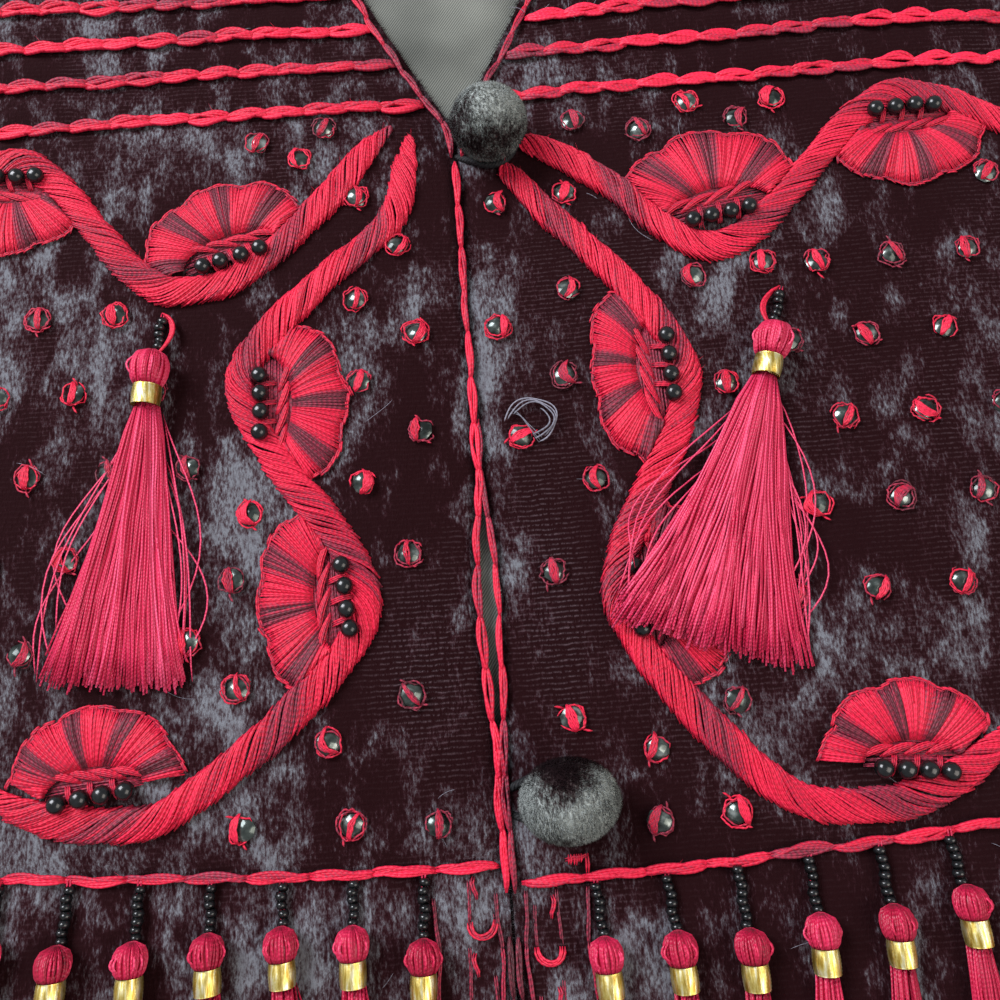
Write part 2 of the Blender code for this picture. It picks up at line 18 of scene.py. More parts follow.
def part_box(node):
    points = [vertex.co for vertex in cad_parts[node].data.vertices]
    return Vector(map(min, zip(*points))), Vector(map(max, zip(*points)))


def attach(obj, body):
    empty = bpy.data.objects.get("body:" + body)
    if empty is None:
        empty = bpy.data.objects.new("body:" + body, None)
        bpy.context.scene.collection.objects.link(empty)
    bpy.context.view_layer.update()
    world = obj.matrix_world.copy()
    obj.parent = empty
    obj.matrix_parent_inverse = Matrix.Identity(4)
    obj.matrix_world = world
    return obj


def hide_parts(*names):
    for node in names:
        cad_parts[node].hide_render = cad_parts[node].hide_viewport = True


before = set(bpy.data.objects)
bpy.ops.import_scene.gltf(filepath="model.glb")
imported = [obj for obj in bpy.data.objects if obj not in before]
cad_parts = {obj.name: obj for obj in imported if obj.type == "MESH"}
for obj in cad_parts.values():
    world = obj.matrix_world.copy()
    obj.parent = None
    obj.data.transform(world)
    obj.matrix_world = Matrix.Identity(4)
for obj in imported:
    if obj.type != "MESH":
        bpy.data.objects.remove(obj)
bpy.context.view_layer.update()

MM = 0.001
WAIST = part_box("tassel_waist_left_01")[1].y
rng = np.random.default_rng(11)

# %% [markdown]
# ## Colour and nodes
# Colours are written as the sRGB values that a swatch would show, and turned to linear once.
# A few small functions add the nodes that every material here needs: noise with features of a
# size in millimetres, sums of values, and a value moved from one range to another.

# %% Colour and node helpers


def linear(swatch):
    """Linear colour of an sRGB hex swatch."""
    parts = [int(swatch[i:i + 2], 16) / 255 for i in (1, 3, 5)]
    return [p / 12.92 if p <= 0.04045 else ((p + 0.055) / 1.055) ** 2.4 for p in parts] + [1.0]


def add(tree, kind, values=None, links=None, **options):
    """Adds one node: options are its own settings, values and links go to its sockets."""
    made = tree.nodes.new(kind)
    for key, value in options.items():
        setattr(made, key, value)
    for key, value in (values or {}).items():
        made.inputs[key].default_value = value
    for key, output in (links or {}).items():
        tree.links.new(output, made.inputs[key])
    return made


def finish_of(name, **sockets):
    """A material with a Principled shader: the material, its tree, its shader and its place."""
    made = bpy.data.materials.new(name)
    made.use_nodes = True
    tree = made.node_tree
    shader = tree.nodes["Principled BSDF"]
    for key, value in sockets.items():
        shader.inputs[key.replace("_", " ")].default_value = value
    return made, tree, shader, add(tree, "ShaderNodeTexCoord").outputs["Object"]


def ramp(tree, factor, stops):
    """A colour ramp through (place, swatch) stops."""
    made = add(tree, "ShaderNodeValToRGB", links={"Fac": factor})
    elements = made.color_ramp.elements
    while len(elements) < len(stops):
        elements.new(0.5)
    for element, (place, swatch) in zip(elements, stops):
        element.position = place
        element.color = linear(swatch)
    return made.outputs["Color"]


def combine(tree, operation, *values):
    """One maths node over sockets and numbers."""
    made = add(tree, "ShaderNodeMath", operation=operation)
    for socket, value in zip(made.inputs, values):
        if isinstance(value, (int, float)):
            socket.default_value = value
        else:
            tree.links.new(value, socket)
    return made.outputs[0]


def remap(tree, value, low, high, to_low, to_high, **options):
    """A value from the range low to high, moved to the range to_low to to_high."""
    span = {"From Min": low, "From Max": high, "To Min": to_low, "To Max": to_high}
    return add(tree, "ShaderNodeMapRange", span, {"Value": value}, **options).outputs["Result"]


def mapped(tree, place, values, kind="POINT"):
    """The same place scaled, turned or moved."""
    return add(tree, "ShaderNodeMapping", values, {"Vector": place}, vector_type=kind).outputs["Vector"]


def noise_of(tree, place, size_mm, detail, roughness=0.5, distortion=0.0):
    """Noise with features of a size in millimetres."""
    values = {
        "Scale": 1 / (size_mm * MM), "Detail": detail, "Roughness": roughness, "Distortion": distortion,
    }
    return add(tree, "ShaderNodeTexNoise", values, {"Vector": place}).outputs["Fac"]


def lines_of(tree, place, pitch_mm, direction, **values):
    """Even lines at a pitch in millimetres. Blender's wave repeats 20 times in tau metres."""
    values["Scale"] = math.tau / (20 * pitch_mm * MM)
    made = add(
        tree, "ShaderNodeTexWave", {key.replace("_", " "): value for key, value in values.items()},
        {"Vector": place}, bands_direction=direction,
    )
    return made.outputs["Fac"]


def emboss(tree, shader, height, strength, depth_mm):
    """Fine relief that only the light sees."""
    depth = {"Strength": strength, "Distance": depth_mm * MM}
    made = add(tree, "ShaderNodeBump", depth, {"Height": height})
    tree.links.new(made.outputs["Normal"], shader.inputs["Normal"])


# %% [markdown]
# ## Crushed velvet
# Rayon velvet is a woven ground with a cut pile about 1.5 mm deep. Where the pile has been
# crushed it leans over and shows its sides, which shine blue-grey, and where it stands up it
# swallows the light and looks black with a breath of maroon. So the colour comes from one
# noise for the crushed patches, broken up by streaks as fine as tufts of pile, and the
# blue-grey of the patches is painted sheen. Hands crush some places of the fronts more than
# others, so soft round spots add to the noise or take from it; on the ball buttons the spots
# are painted light and shade, and on the fronts a gradient paints the patches a little
# stronger towards one side, painted light. Weft lines at 1.1 mm show through where the pile
# is thin.

# %% Velvet material

WEFT_PITCH = 1.1
TUFT = 0.6
# Spots on the fronts where more or fewer crushed patches show; the patches are painted sheen.
CRUSHED = [
    (-52, 78, 17, 36, 0.21), (-52, 30, 18, 24, 0.18), (-36, -8, 34, 16, 0.15), (3.4, 98, 8, 42, 0.12),
    (-25, 122, 12, 26, 0.18), (-13, 155, 9, 16, 0.07), (-17, 36, 18, 26, -0.10), (-13, 70, 12, 30, -0.07),
    (17, 62, 15, 62, -0.22), (28, 124, 24, 30, -0.18), (-9, 104, 7, 24, 0.03), (36, 8, 26, 16, -0.08),
]
RIBBED = [(-13, 42, 18, 30, 0.75), (13, 56, 13, 44, 0.6)]


def soft_spots(tree, place, spots):
    """Sum of soft round spots: plan x and y, half width, half height and weight of each."""
    total = combine(tree, "ADD", 0.0, 0.0)
    for x, y, half_x, half_y, weight in spots:
        at = {"Location": (x * MM, WAIST + y * MM, 0), "Scale": (half_x * MM, half_y * MM, 1)}
        inside = mapped(tree, place, at, "TEXTURE")
        reach = add(tree, "ShaderNodeVectorMath", links={0: inside}, operation="LENGTH").outputs["Value"]
        spot = remap(tree, reach, 0.0, 1.0, weight, 0.0, interpolation_type="SMOOTHSTEP")
        total = combine(tree, "ADD", total, spot)
    return total


def light_to_one_side(tree, place, lighter_to, pivot):
    """Painted light: the patches show more on one side of the pivot and less on the other, within limits."""
    away = add(tree, "ShaderNodeVectorMath", {1: pivot}, {0: place}, operation="SUBTRACT").outputs["Vector"]
    lean = add(tree, "ShaderNodeVectorMath", {1: lighter_to}, {0: away}, operation="DOT_PRODUCT").outputs[1]
    return add(tree, "ShaderNodeClamp", {"Min": -0.14, "Max": 0.10}, {"Value": lean}).outputs[0]


def crushed_velvet(
    name, patch_mm, cover, swatches, spots, ribs=0.0, ribbed=(), lighter_to=(0, 0, 0), pivot=(0, 0, 0),
):
    """Velvet with crushed patches of a size, coloured as painted sheen; the higher the cover, the fewer of
    them show.
    """
    made, tree, shader, place = finish_of(
        name, Roughness=0.9, Sheen_Weight=0.02, Sheen_Roughness=0.5,
        Sheen_Tint=linear("#8A93A8"), Specular_IOR_Level=0.06,
    )
    nap_way = mapped(tree, place, {"Scale": (1.0, 0.5, 1.0), "Rotation": (0, 0, 0.15)})
    patches = noise_of(tree, nap_way, patch_mm, 6.0, 0.58, 0.4)
    broad = noise_of(tree, place, 6 * patch_mm, 2.0)
    tufts = noise_of(tree, mapped(tree, place, {"Scale": (1.0, 0.38, 1.0)}), TUFT, 4.0, 0.7)
    crush_and_sheen = combine(tree, "ADD", patches, combine(tree, "MULTIPLY", broad, 0.55))
    crush_and_sheen = combine(tree, "ADD", crush_and_sheen, combine(tree, "MULTIPLY", tufts, 0.54))
    # Painted light: the patches grow a little stronger towards one side.
    crush_and_sheen = combine(tree, "ADD", crush_and_sheen, light_to_one_side(tree, place, lighter_to, pivot))
    crush_and_sheen = combine(tree, "ADD", crush_and_sheen, soft_spots(tree, place, spots))
    # Painted sheen: where the mask is high the colour goes to the blue-grey of the crushed pile.
    sheen_mask = remap(tree, crush_and_sheen, cover, cover + 0.28, 0.0, 1.0)
    sheen_mask = combine(tree, "MULTIPLY", sheen_mask, remap(tree, tufts, 0.34, 0.62, 0.5, 1.0))
    weft = lines_of(
        tree, place, WEFT_PITCH, "Y", Distortion=2.2, Detail=2.0, Detail_Scale=1.2,
    )
    thin = combine(
        tree, "ADD", remap(tree, broad, 0.44, 0.62, 0.1 * ribs, ribs), soft_spots(tree, place, ribbed),
    )
    lines = combine(tree, "MULTIPLY", combine(tree, "POWER", weft, 4.0), thin)
    lines = combine(tree, "MULTIPLY", lines, combine(tree, "SUBTRACT", 1.0, sheen_mask))
    lines = combine(tree, "MULTIPLY", lines, remap(tree, tufts, 0.42, 0.6, 0.0, 1.0))
    tinted = add(
        tree, "ShaderNodeMix", {7: linear("#6A565C")}, {0: lines, 6: ramp(tree, sheen_mask, swatches)},
        data_type="RGBA",
    ).outputs[2]
    tree.links.new(tinted, shader.inputs["Base Color"])
    emboss(tree, shader, combine(tree, "SUBTRACT", tufts, lines), 0.9, 0.5)
    return made


velvet = crushed_velvet(
    "crushed rayon velvet", 7.0, 1.0,
    [(0.0, "#1F090C"), (0.2, "#2A1217"), (0.5, "#493F44"), (0.95, "#75777E")], CRUSHED, 0.3, RIBBED,
    (-0.4, -0.2, 0.0), (0.0, WAIST + 0.080, 0.0),
)
# The pale end of these tones is painted sheen on the balls.
BALL_TONES = [(0.0, "#1C1012"), (0.22, "#3A3030"), (0.5, "#6C6F6D"), (1.0, "#AEB4B0")]
# On the balls the spots are painted light and shade: each ball is lighter in one place and darker towards its
# edges on two sides.
ball_velvet_top = crushed_velvet(
    "velvet over the top mould", 7, 0.78, BALL_TONES,
    [(10.5, 163, 7, 7, 0.16), (1.5, 163, 6, 10, -0.22), (7, 154, 9, 5, -0.2)],
)
ball_velvet_waist = crushed_velvet(
    "velvet over the waist mould", 8, 0.88, BALL_TONES,
    [(11.5, 11.5, 8, 6, 0.16), (12.5, 22.0, 12, 8, -0.34), (22, 13, 5, 9, -0.2)],
)

# %% [markdown]
# ## Threads, foil, glass
# The embroidery is stranded rayon: a smooth filament with a bright line along each thread.
# It was dyed in stretches, so it goes from crimson to a dull rose brown. Each thread carries
# a tone from 0, dull, to 1, bright, and the material turns the tone into its colour; mostly
# the tone is the dye, and in a few places it also carries painted light and shade. It also
# carries its distance along and round the thread, which draw the grooves between the plies
# as a bump and as painted shade that darkens the colour in the grooves.
# The band of a tassel is gilt foil on a paper core, the beads are jet glass and the mirrors
# are small cut discs of silvered glass.

# %% Thread, foil and glass materials


def dyed_thread(name, swatches, roughness, sheen, lay_mm=1.1, depth=0.12):
    """Dyed thread with a ply that turns once in lay_mm millimetres; depth is how far the colour is darkened
    in the grooves, a painted shade.
    """
    made, tree, shader, place = finish_of(
        name, Roughness=roughness, Sheen_Weight=sheen, Sheen_Roughness=0.4,
        Sheen_Tint=linear("#FF9AA8"), Specular_IOR_Level=0.45,
    )
    tone = add(tree, "ShaderNodeAttribute", attribute_name="tone").outputs["Fac"]
    fibres = noise_of(tree, place, 0.35, 3.0)
    mixed = combine(tree, "ADD", tone, remap(tree, fibres, 0.0, 1.0, -0.16, 0.16))
    twist = add(tree, "ShaderNodeAttribute", attribute_name="ply").outputs["Vector"]
    parts = add(tree, "ShaderNodeSeparateXYZ", links={"Vector": twist}).outputs
    turns = combine(tree, "ADD", combine(tree, "MULTIPLY", parts["X"], 1 / lay_mm), parts["Y"])
    plies = combine(tree, "SINE", combine(tree, "MULTIPLY", turns, math.tau))
    # Painted shade: the colour is darkened in the grooves between the plies.
    shade = combine(tree, "ADD", mixed, remap(tree, plies, -1.0, 0.3, -depth, 0.03))
    tree.links.new(ramp(tree, shade, swatches), shader.inputs["Base Color"])
    emboss(tree, shader, combine(tree, "MULTIPLY_ADD", fibres, 0.5, plies), 0.4, 0.08)
    return made


rayon = dyed_thread(
    "stranded rayon, crimson",
    [(0.0, "#3A0A14"), (0.3, "#6A2232"), (0.5, "#9E2440"), (0.72, "#CC1036"), (1.0, "#EE2048")],
    0.55, 0.06,
)
silk = dyed_thread(
    "artificial silk, crimson", [(0.0, "#520818"), (0.35, "#A81236"), (0.7, "#D42450"), (1.0, "#F0527C")],
    0.42, 0.06, 0.8, 0.05,
)
grey_thread = dyed_thread("grey sewing thread", [(0.0, "#3A3E46"), (1.0, "#8E8C9A")], 0.6, 0.1)
cord_black = dyed_thread("black cord", [(0.0, "#08080A"), (1.0, "#1E1E22")], 0.7, 0.02)


def gilt_foil():
    """Foil drawn round the core, with fine creases that run down the band; along the creases the colour goes
    pale, a painted highlight.
    """
    made, tree, shader, place = finish_of("gilt foil", Metallic=0.9, Roughness=0.38)
    creases_and_glints = noise_of(tree, mapped(tree, place, {"Scale": (1.0, 0.16, 0.5)}), 0.5, 3.0)
    # Painted highlights: the pale end of the ramp follows the creases.
    gold = ramp(tree, creases_and_glints, [(0.34, "#B8963C"), (0.5, "#E2CC76"), (0.66, "#FAF2C8")])
    tree.links.new(gold, shader.inputs["Base Color"])
    emboss(tree, shader, creases_and_glints, 0.4, 0.2)
    return made


def jet_glass():
    made, tree, shader, place = finish_of("jet glass", Roughness=0.12, IOR=1.52)
    smear = noise_of(tree, place, 1.2, 2.0)
    tree.links.new(ramp(tree, smear, [(0.3, "#0A0B0C"), (0.8, "#1E2022")]), shader.inputs["Base Color"])
    tree.links.new(remap(tree, smear, 0.0, 1.0, 0.14, 0.28), shader.inputs["Roughness"])
    return made


def silvered_glass():
    made, tree, shader, place = finish_of("silvered cut glass", Metallic=0.6, Roughness=0.18)
    # Painted reflection: the grey base and its pale patches stand for what the cut discs reflect.
    reflection_patches = noise_of(tree, place, 2.5, 4.0)
    silver = ramp(tree, reflection_patches, [(0.35, "#262A28"), (0.55, "#525A56"), (0.75, "#A8B0AC")])
    tree.links.new(silver, shader.inputs["Base Color"])
    return made


def lining_twill():
    """Acetate twill: slanted ribs at 0.55 mm and the soft shine of a lining."""
    made, tree, shader, place = finish_of(
        "acetate lining twill", Roughness=0.42, Sheen_Weight=0.1, Specular_IOR_Level=0.35,
    )
    slant = mapped(tree, place, {"Rotation": (0, 0, math.radians(35))})
    ribs = lines_of(tree, slant, 0.55, "X", Distortion=0.5)
    cloud = noise_of(tree, place, 45, 3.0)
    mixed = combine(tree, "ADD", combine(tree, "MULTIPLY", ribs, 0.26), cloud)
    grey = ramp(tree, mixed, [(0.4, "#2C2E2A"), (0.62, "#575953"), (0.84, "#868880")])
    tree.links.new(grey, shader.inputs["Base Color"])
    emboss(tree, shader, ribs, 0.5, 0.15)
    return made


foil = gilt_foil()
jet = jet_glass()
mirror_glass = silvered_glass()
twill = lining_twill()

# %% [markdown]
# ## Velvet panels
# The solids are coarse walls. Each velvet panel here is a finer copy of its wall: the same
# edges, its facets smoothed into folds, and small swells where the cloth was crushed or is
# drawn in by stitches. Chain-stitch rows press a groove into the pile, and the waist line
# gathers the cloth into short puckers between its tassels.

# %% Panels

ROW_FIRST = 175.5
ROW_PITCH = 11.3
ROW_COUNT = 17
TASSEL_FIRST = 16.5
TASSEL_PITCH = 13.7
WAIST_STEMS = {1: [9.6, 9.9, 11.0], -1: [10.8, 8.0, 7.8]}
WAIST_CLIMB = 0.07
RIGHT_HIGHER = 3.3
HANDS = {1: "left", -1: "right"}


def plan(x, y, z):
    """World place of a point of the plan; x and y in millimetres, z already in metres."""
    return x * MM, WAIST + y * MM, z


def waist_y(side, x):
    """Height on the plan of the waist line, which climbs from the centre front to the sides."""
    return WAIST_CLIMB * (np.hypot(x, 40.0) - 40.0) + (RIGHT_HIGHER if side < 0 else 0.0)


def waist_stem(side, number):
    """Length of a waist tassel's bead stem."""
    if number < len(WAIST_STEMS[side]):
        return WAIST_STEMS[side][number]
    return 9.6 + 0.9 * math.sin(1.9 * number + side)


def row_y(number, x):
    """Height on the plan of a chest row, which bows a little over the bust."""
    return ROW_FIRST + ROW_PITCH * number + 0.6 * math.sin(number * 1.7) - 0.0002 * (np.abs(x) - 30) ** 2


def hollow(gap, width):
    """Depth, 1 at most, of a soft hollow along a line, by the distance from the line."""
    return math.exp(-((gap / width) ** 2))


def swell(x, y):
    """How far the pile side stands in or out, in metres, at a point of the plan."""
    point = Vector((x / 9, y / 9, 0))
    out = 0.45 * noise.noise(point) + 0.25 * noise.noise(point * 2.3)
    if y > ROW_FIRST - 6:
        number = round((y - ROW_FIRST) / ROW_PITCH)
        gap = y - float(row_y(number, x))
        out -= 0.75 * hollow(gap, 2.2)
    gap = y - float(waist_y(1 if x > 0 else -1, x))
    phase = (abs(x) - TASSEL_FIRST) / TASSEL_PITCH
    out -= 0.9 * hollow(gap, 2.4)
    out += 0.75 * math.cos(math.tau * (phase + 0.5)) * hollow(gap, 15) * (gap < 0)
    return out * MM


def dress(name, mesh, material, slot, *nodes):
    """One piece of a mesh, riding on the root, in the place of the nodes it replaces."""
    mesh.shade_smooth()
    mesh.materials.append(material)
    made = bpy.data.objects.new(name, mesh)
    bpy.context.scene.collection.objects.link(made)
    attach(made, "root")
    if nodes:
        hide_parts(*nodes)
    return made


def fine_wall(name, node, cuts, rounds, material, slot, crush=True):
    """A finer copy of a node's wall, smoothed in height, with its pile side crushed."""
    bm = bmesh.new()
    bm.from_mesh(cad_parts[node].data)
    bmesh.ops.remove_doubles(bm, verts=bm.verts[:], dist=0.02 * MM)
    bmesh.ops.subdivide_edges(bm, edges=bm.edges[:], cuts=cuts, use_grid_fill=True)
    for _ in range(rounds):
        bmesh.ops.smooth_vert(
            bm, verts=bm.verts[:], factor=0.5, use_axis_x=False, use_axis_y=False, use_axis_z=True,
        )
    bm.normal_update()
    if crush:
        for vertex in bm.verts:
            if vertex.normal.z > 0.3:
                vertex.co.z += swell(vertex.co.x / MM, (vertex.co.y - WAIST) / MM)
    mesh = bpy.data.meshes.new(name)
    bm.to_mesh(mesh)
    bm.free()
    print(name, len(mesh.polygons), "faces")
    return dress(name, mesh, material, slot, node)


panels = {
    1: fine_wall("velvet_front_left", "front_left", 4, 7, velvet, "velvet"),
    -1: fine_wall("velvet_front_right", "front_right", 4, 7, velvet, "velvet"),
}
velvet_back = fine_wall("velvet_back", "back", 1, 0, velvet, "velvet", crush=False)
lining = fine_wall("lining_back", "back_lining", 1, 0, twill, "lining", crush=False)

# %% [markdown]
# ## Where the stitches lie
# Thread work needs the height of the velvet under every point. A ray cast for each point of
# each thread would be slow, so each front is sampled once on a 1.5 mm grid and read by
# interpolation. Cells outside the panel take the height of their nearest neighbour, so that
# a stitch may run over the edge.

# %% Skin of each front

CELL = 1.5


class Skin:
    """Height of one front's velvet over the plan, and where its edges are."""

    def __init__(self, panel):
        bm = bmesh.new()
        bm.from_mesh(panel.data)
        self.tree = BVHTree.FromBMesh(bm)
        bm.free()
        self.side = 1 if panel.name.endswith("left") else -1
        self.x0 = -8.0 if self.side > 0 else -240.0
        self.y0 = -104.0
        self.nx = int(248 / CELL) + 1
        self.ny = int(490 / CELL) + 1
        grid = np.full((self.ny, self.nx), np.nan)
        for j in range(self.ny):
            for i in range(self.nx):
                grid[j, i] = self.cast(self.x0 + i * CELL, self.y0 + j * CELL)
        while np.isnan(grid).any():
            padded = np.pad(grid, 1, constant_values=np.nan)
            near = np.stack([padded[1:-1, :-2], padded[1:-1, 2:], padded[:-2, 1:-1], padded[2:, 1:-1]])
            known = ~np.isnan(near)
            total = np.where(known, near, 0).sum(0)
            count = known.sum(0)
            fill = np.isnan(grid) & (count > 0)
            grid[fill] = total[fill] / count[fill]
        self.grid = grid

    def cast(self, x, y):
        """Height of the panel straight under a plan point, or nan beside the panel."""
        hit = self.tree.ray_cast(Vector(plan(x, y, 0.2)), Vector((0, 0, -1)))[0]
        return hit.z if hit else np.nan

    def height(self, x, y):
        """Heights in metres at arrays of plan points."""
        u = np.clip((np.asarray(x, float) - self.x0) / CELL, 0, self.nx - 1.001)
        v = np.clip((np.asarray(y, float) - self.y0) / CELL, 0, self.ny - 1.001)
        i = u.astype(int)
        j = v.astype(int)
        fu = u - i
        fv = v - j
        g = self.grid
        low = g[j, i] * (1 - fu) + g[j, i + 1] * fu
        high = g[j + 1, i] * (1 - fu) + g[j + 1, i + 1] * fu
        return low * (1 - fv) + high * fv

    def edges(self, y):
        """Nearest and furthest |x| of the panel at one height of the plan."""
        inside = [d for d in np.arange(0.2, 236, 2.0) if not np.isnan(self.cast(self.side * d, y))]
        found = []
        for start, step in ((inside[0], -0.25), (inside[-1], 0.25)):
            d = start
            while d > 0.3 and not np.isnan(self.cast(self.side * (d + step), y)):
                d += step
            found.append(d)
        return found


skins = {side: Skin(panel) for side, panel in panels.items()}
edge_ys = np.arange(-94, 376, 3.0)
edge_xs = {side: np.array([skin.edges(y) for y in edge_ys]) for side, skin in skins.items()}


def inner_edge(side, y):
    """Distance from the centre front to the neck and front edge."""
    return np.interp(y, edge_ys, edge_xs[side][:, 0])


def outer_edge(side, y):
    """Distance from the centre front to the armhole and side seam."""
    return np.interp(y, edge_ys, edge_xs[side][:, 1])


print("front width at the waist", [float(inner_edge(1, 0)), float(outer_edge(1, 0))])

# %% [markdown]
# ## Making thread
# Every thread is a thin tube along a line of points. One class gathers thousands of tubes,
# computes them together with arrays, and makes one mesh of them, with the tone of each thread
# stored at its points.

# %% Thread maker


def unit(vectors):
    """The same directions at length 1."""
    return vectors / (np.linalg.norm(vectors, axis=-1, keepdims=True) + 1e-12)


def ring_faces(rows, sides):
    """Four-sided faces between rows of closed rings, row by row, and the numbers of the points."""
    index = np.arange(rows * sides).reshape(rows, sides)
    after = np.roll(index, -1, axis=1)
    return np.stack([index[:-1], after[:-1], after[1:], index[1:]], axis=-1), index


class Threads:
    """Gathers tubes and small shapes, then makes one piece of them."""

    def __init__(self):
        self.points = []
        self.tones = []
        self.loops = []
        self.sizes = []
        self.ply = []
        self.count = 0

    def shape(self, points, faces, tone, ply=None):
        """One lot of points and faces of equal size, faces counted from its own first point."""
        points = np.asarray(points, float).reshape(-1, 3)
        faces = np.asarray(faces, int)
        self.points.append(points)
        self.tones.append(np.broadcast_to(np.asarray(tone, float).reshape(-1), (len(points),)))
        self.loops.append((faces + self.count).ravel())
        self.sizes.append(np.full(len(faces), faces.shape[1]))
        self.ply.append(np.zeros((faces.size, 2)) if ply is None else ply)
        self.count += len(points)

    def cap(self, caps):
        """Closing faces over points that are already there, one face to a row."""
        caps = np.atleast_2d(caps)
        self.loops.append(caps.ravel())
        self.sizes.append(np.full(len(caps), caps.shape[1]))
        self.ply.append(np.zeros((caps.size, 2)))

    def tubes(self, lines, radius, tone, sides=3, taper=0.35):
        """Tubes with a radius in millimetres along lines, an array of threads by points by 3."""
        lines = np.asarray(lines, float)
        threads, steps, _ = lines.shape
        ahead = unit(np.gradient(lines, axis=1))
        aside = unit(np.cross(ahead, np.array([0.02, 0.03, 1.0])))
        above = np.cross(aside, ahead)
        width = np.ones(steps)
        width[0] = taper
        width[-1] = taper
        reach = radius * MM * width
        turn = math.tau * (np.arange(sides) + 0.25) / sides
        ring = (
            np.cos(turn)[None, None, :, None] * aside[:, :, None, :]
            + np.sin(turn)[None, None, :, None] * above[:, :, None, :]
        )
        points = lines[:, :, None, :] + ring * reach[:, None, None]
        index = np.arange(threads * steps * sides).reshape(threads, steps, sides)
        after = np.roll(index, -1, axis=2)
        quads = np.stack([index[:, :-1], after[:, :-1], after[:, 1:], index[:, 1:]], axis=-1)
        tones = np.broadcast_to(np.reshape(np.clip(tone, 0, 1), (-1, 1)), (threads, steps * sides))
        start = self.count
        step = np.linalg.norm(np.diff(lines, axis=1), axis=2) / MM
        along = np.concatenate([np.zeros((threads, 1)), np.cumsum(step, axis=1)], axis=1)
        along = along + rng.uniform(0, 9, (threads, 1))
        near = np.broadcast_to(along[:, :-1, None], (threads, steps - 1, sides))
        far = np.broadcast_to(along[:, 1:, None], (threads, steps - 1, sides))
        first = np.broadcast_to(np.arange(sides) / sides, near.shape)
        ply = np.stack(
            [np.stack([near, near, far, far], -1), np.stack([first, first + 1 / sides] * 2, -1)], axis=-1,
        )
        ply[..., 2, 1] = ply[..., 1, 1]
        ply[..., 3, 1] = ply[..., 0, 1]
        self.shape(points, quads.reshape(-1, 4), tones, ply.reshape(-1, 2))
        self.cap(index[:, 0, ::-1] + start)
        self.cap(index[:, -1] + start)

    def thread(self, line, radius, tone, sides=3):
        """One tube along a line of world points."""
        self.tubes(line[None], radius, tone, sides)

    def hairs(self, foot, tip, radius, tone=0.5):
        """Closed spikes from feet to tips, both arrays of world points."""
        ahead = tip - foot
        flat = unit(np.cross(ahead, np.array([0.3, 0.2, 1.0])))
        other = unit(np.cross(ahead, flat))
        ring = [foot + radius * (math.cos(a) * flat + math.sin(a) * other) for a in (0.0, 2.1, 4.2)]
        points = np.stack(ring + [tip], axis=1)
        base = 4 * np.arange(len(foot))[:, None, None]
        faces = base + np.array([[0, 1, 3], [1, 2, 3], [2, 0, 3], [0, 2, 1]])[None]
        tones = np.repeat(np.broadcast_to(np.asarray(tone, float).reshape(-1), (len(foot),)), 4)
        self.shape(points, faces.reshape(-1, 3), tones)

    def piece(self, name, material, slot, *nodes):
        """Makes the piece, with the tones on its points and the plies on its corners."""
        points = np.concatenate(self.points)
        loops = np.concatenate(self.loops)
        sizes = np.concatenate(self.sizes)
        mesh = bpy.data.meshes.new(name)
        mesh.vertices.add(len(points))
        mesh.vertices.foreach_set("co", points.astype(np.float32).ravel())
        mesh.loops.add(len(loops))
        mesh.loops.foreach_set("vertex_index", loops.astype(np.int32))
        mesh.polygons.add(len(sizes))
        starts = np.concatenate([[0], np.cumsum(sizes)[:-1]])
        mesh.polygons.foreach_set("loop_start", starts.astype(np.int32))
        mesh.update(calc_edges=True)
        twist = mesh.attributes.new("ply", "FLOAT2", "CORNER")
        twist.data.foreach_set("vector", np.concatenate(self.ply).astype(np.float32).ravel())
        tone = mesh.attributes.new("tone", "FLOAT", "POINT")
        tone.data.foreach_set("value", np.concatenate(self.tones).astype(np.float32))
        dress(name, mesh, material, slot, *nodes)
        print(name, int((sizes - 2).sum()), "triangles")


def lay(side, x, y, lift):
    """World points for plan points on a front, lift in millimetres above its velvet."""
    z = skins[side].height(x, y) + np.asarray(lift, float) * MM
    return np.stack([np.asarray(x, float) * MM, WAIST + np.asarray(y, float) * MM, z], axis=-1)


def walk(points, pitch):
    """Even steps along a line of plan points, a route: its places, headings and distances."""
    points = np.asarray(points, float)
    steps = np.linalg.norm(np.diff(points, axis=0), axis=1)
    length = np.concatenate([[0], np.cumsum(steps)])
    reach = np.arange(0, length[-1], pitch)
    xs = np.interp(reach, length, points[:, 0])
    ys = np.interp(reach, length, points[:, 1])
    ahead = unit(np.stack([np.gradient(xs), np.gradient(ys)], axis=1))
    return np.stack([xs, ys], axis=1), ahead, reach


def beside(route, along, off):
    """Plan x and y at distances along a walked route and off to its left."""
    places, ahead, reach = route
    x = np.interp(along, reach, places[:, 0]) - off * np.interp(along, reach, ahead[:, 1])
    y = np.interp(along, reach, places[:, 1]) + off * np.interp(along, reach, ahead[:, 0])
    return x, y


# %% [markdown]
# ## Chain stitch
# In chain stitch each loop comes up inside the last one and is pulled flat, so a row looks
# like a string of narrow leaves. A link of the chest rows is 11.5 mm long and about 3 mm wide.
# It has two legs of three strands each, and its foot dips under the link before it.

# %% Chain stitch

LINK = 11.5
LINK_PITCH = 9.2
LINK_WIDTH = 3.0
STRAND = 0.48
LINK_POINTS = 9


def lint(threads, line, count, tone):
    """Broken filaments that stand off a thread: short spikes along a line of world points."""
    spots = rng.uniform(0.05, 0.9, count) * (len(line) - 1)
    below = spots.astype(int)
    step = line[below + 1] - line[below]
    foot = line[below] + (spots - below)[:, None] * step
    away = 0.7 * unit(step) + rng.normal(0, 0.55, (count, 3)) + np.array([0, 0, 0.5])
    foot = foot + 0.25 * MM * away
    threads.hairs(foot, foot + rng.uniform(0.5, 1.3, (count, 1)) * MM * away, 0.06 * MM, tone)


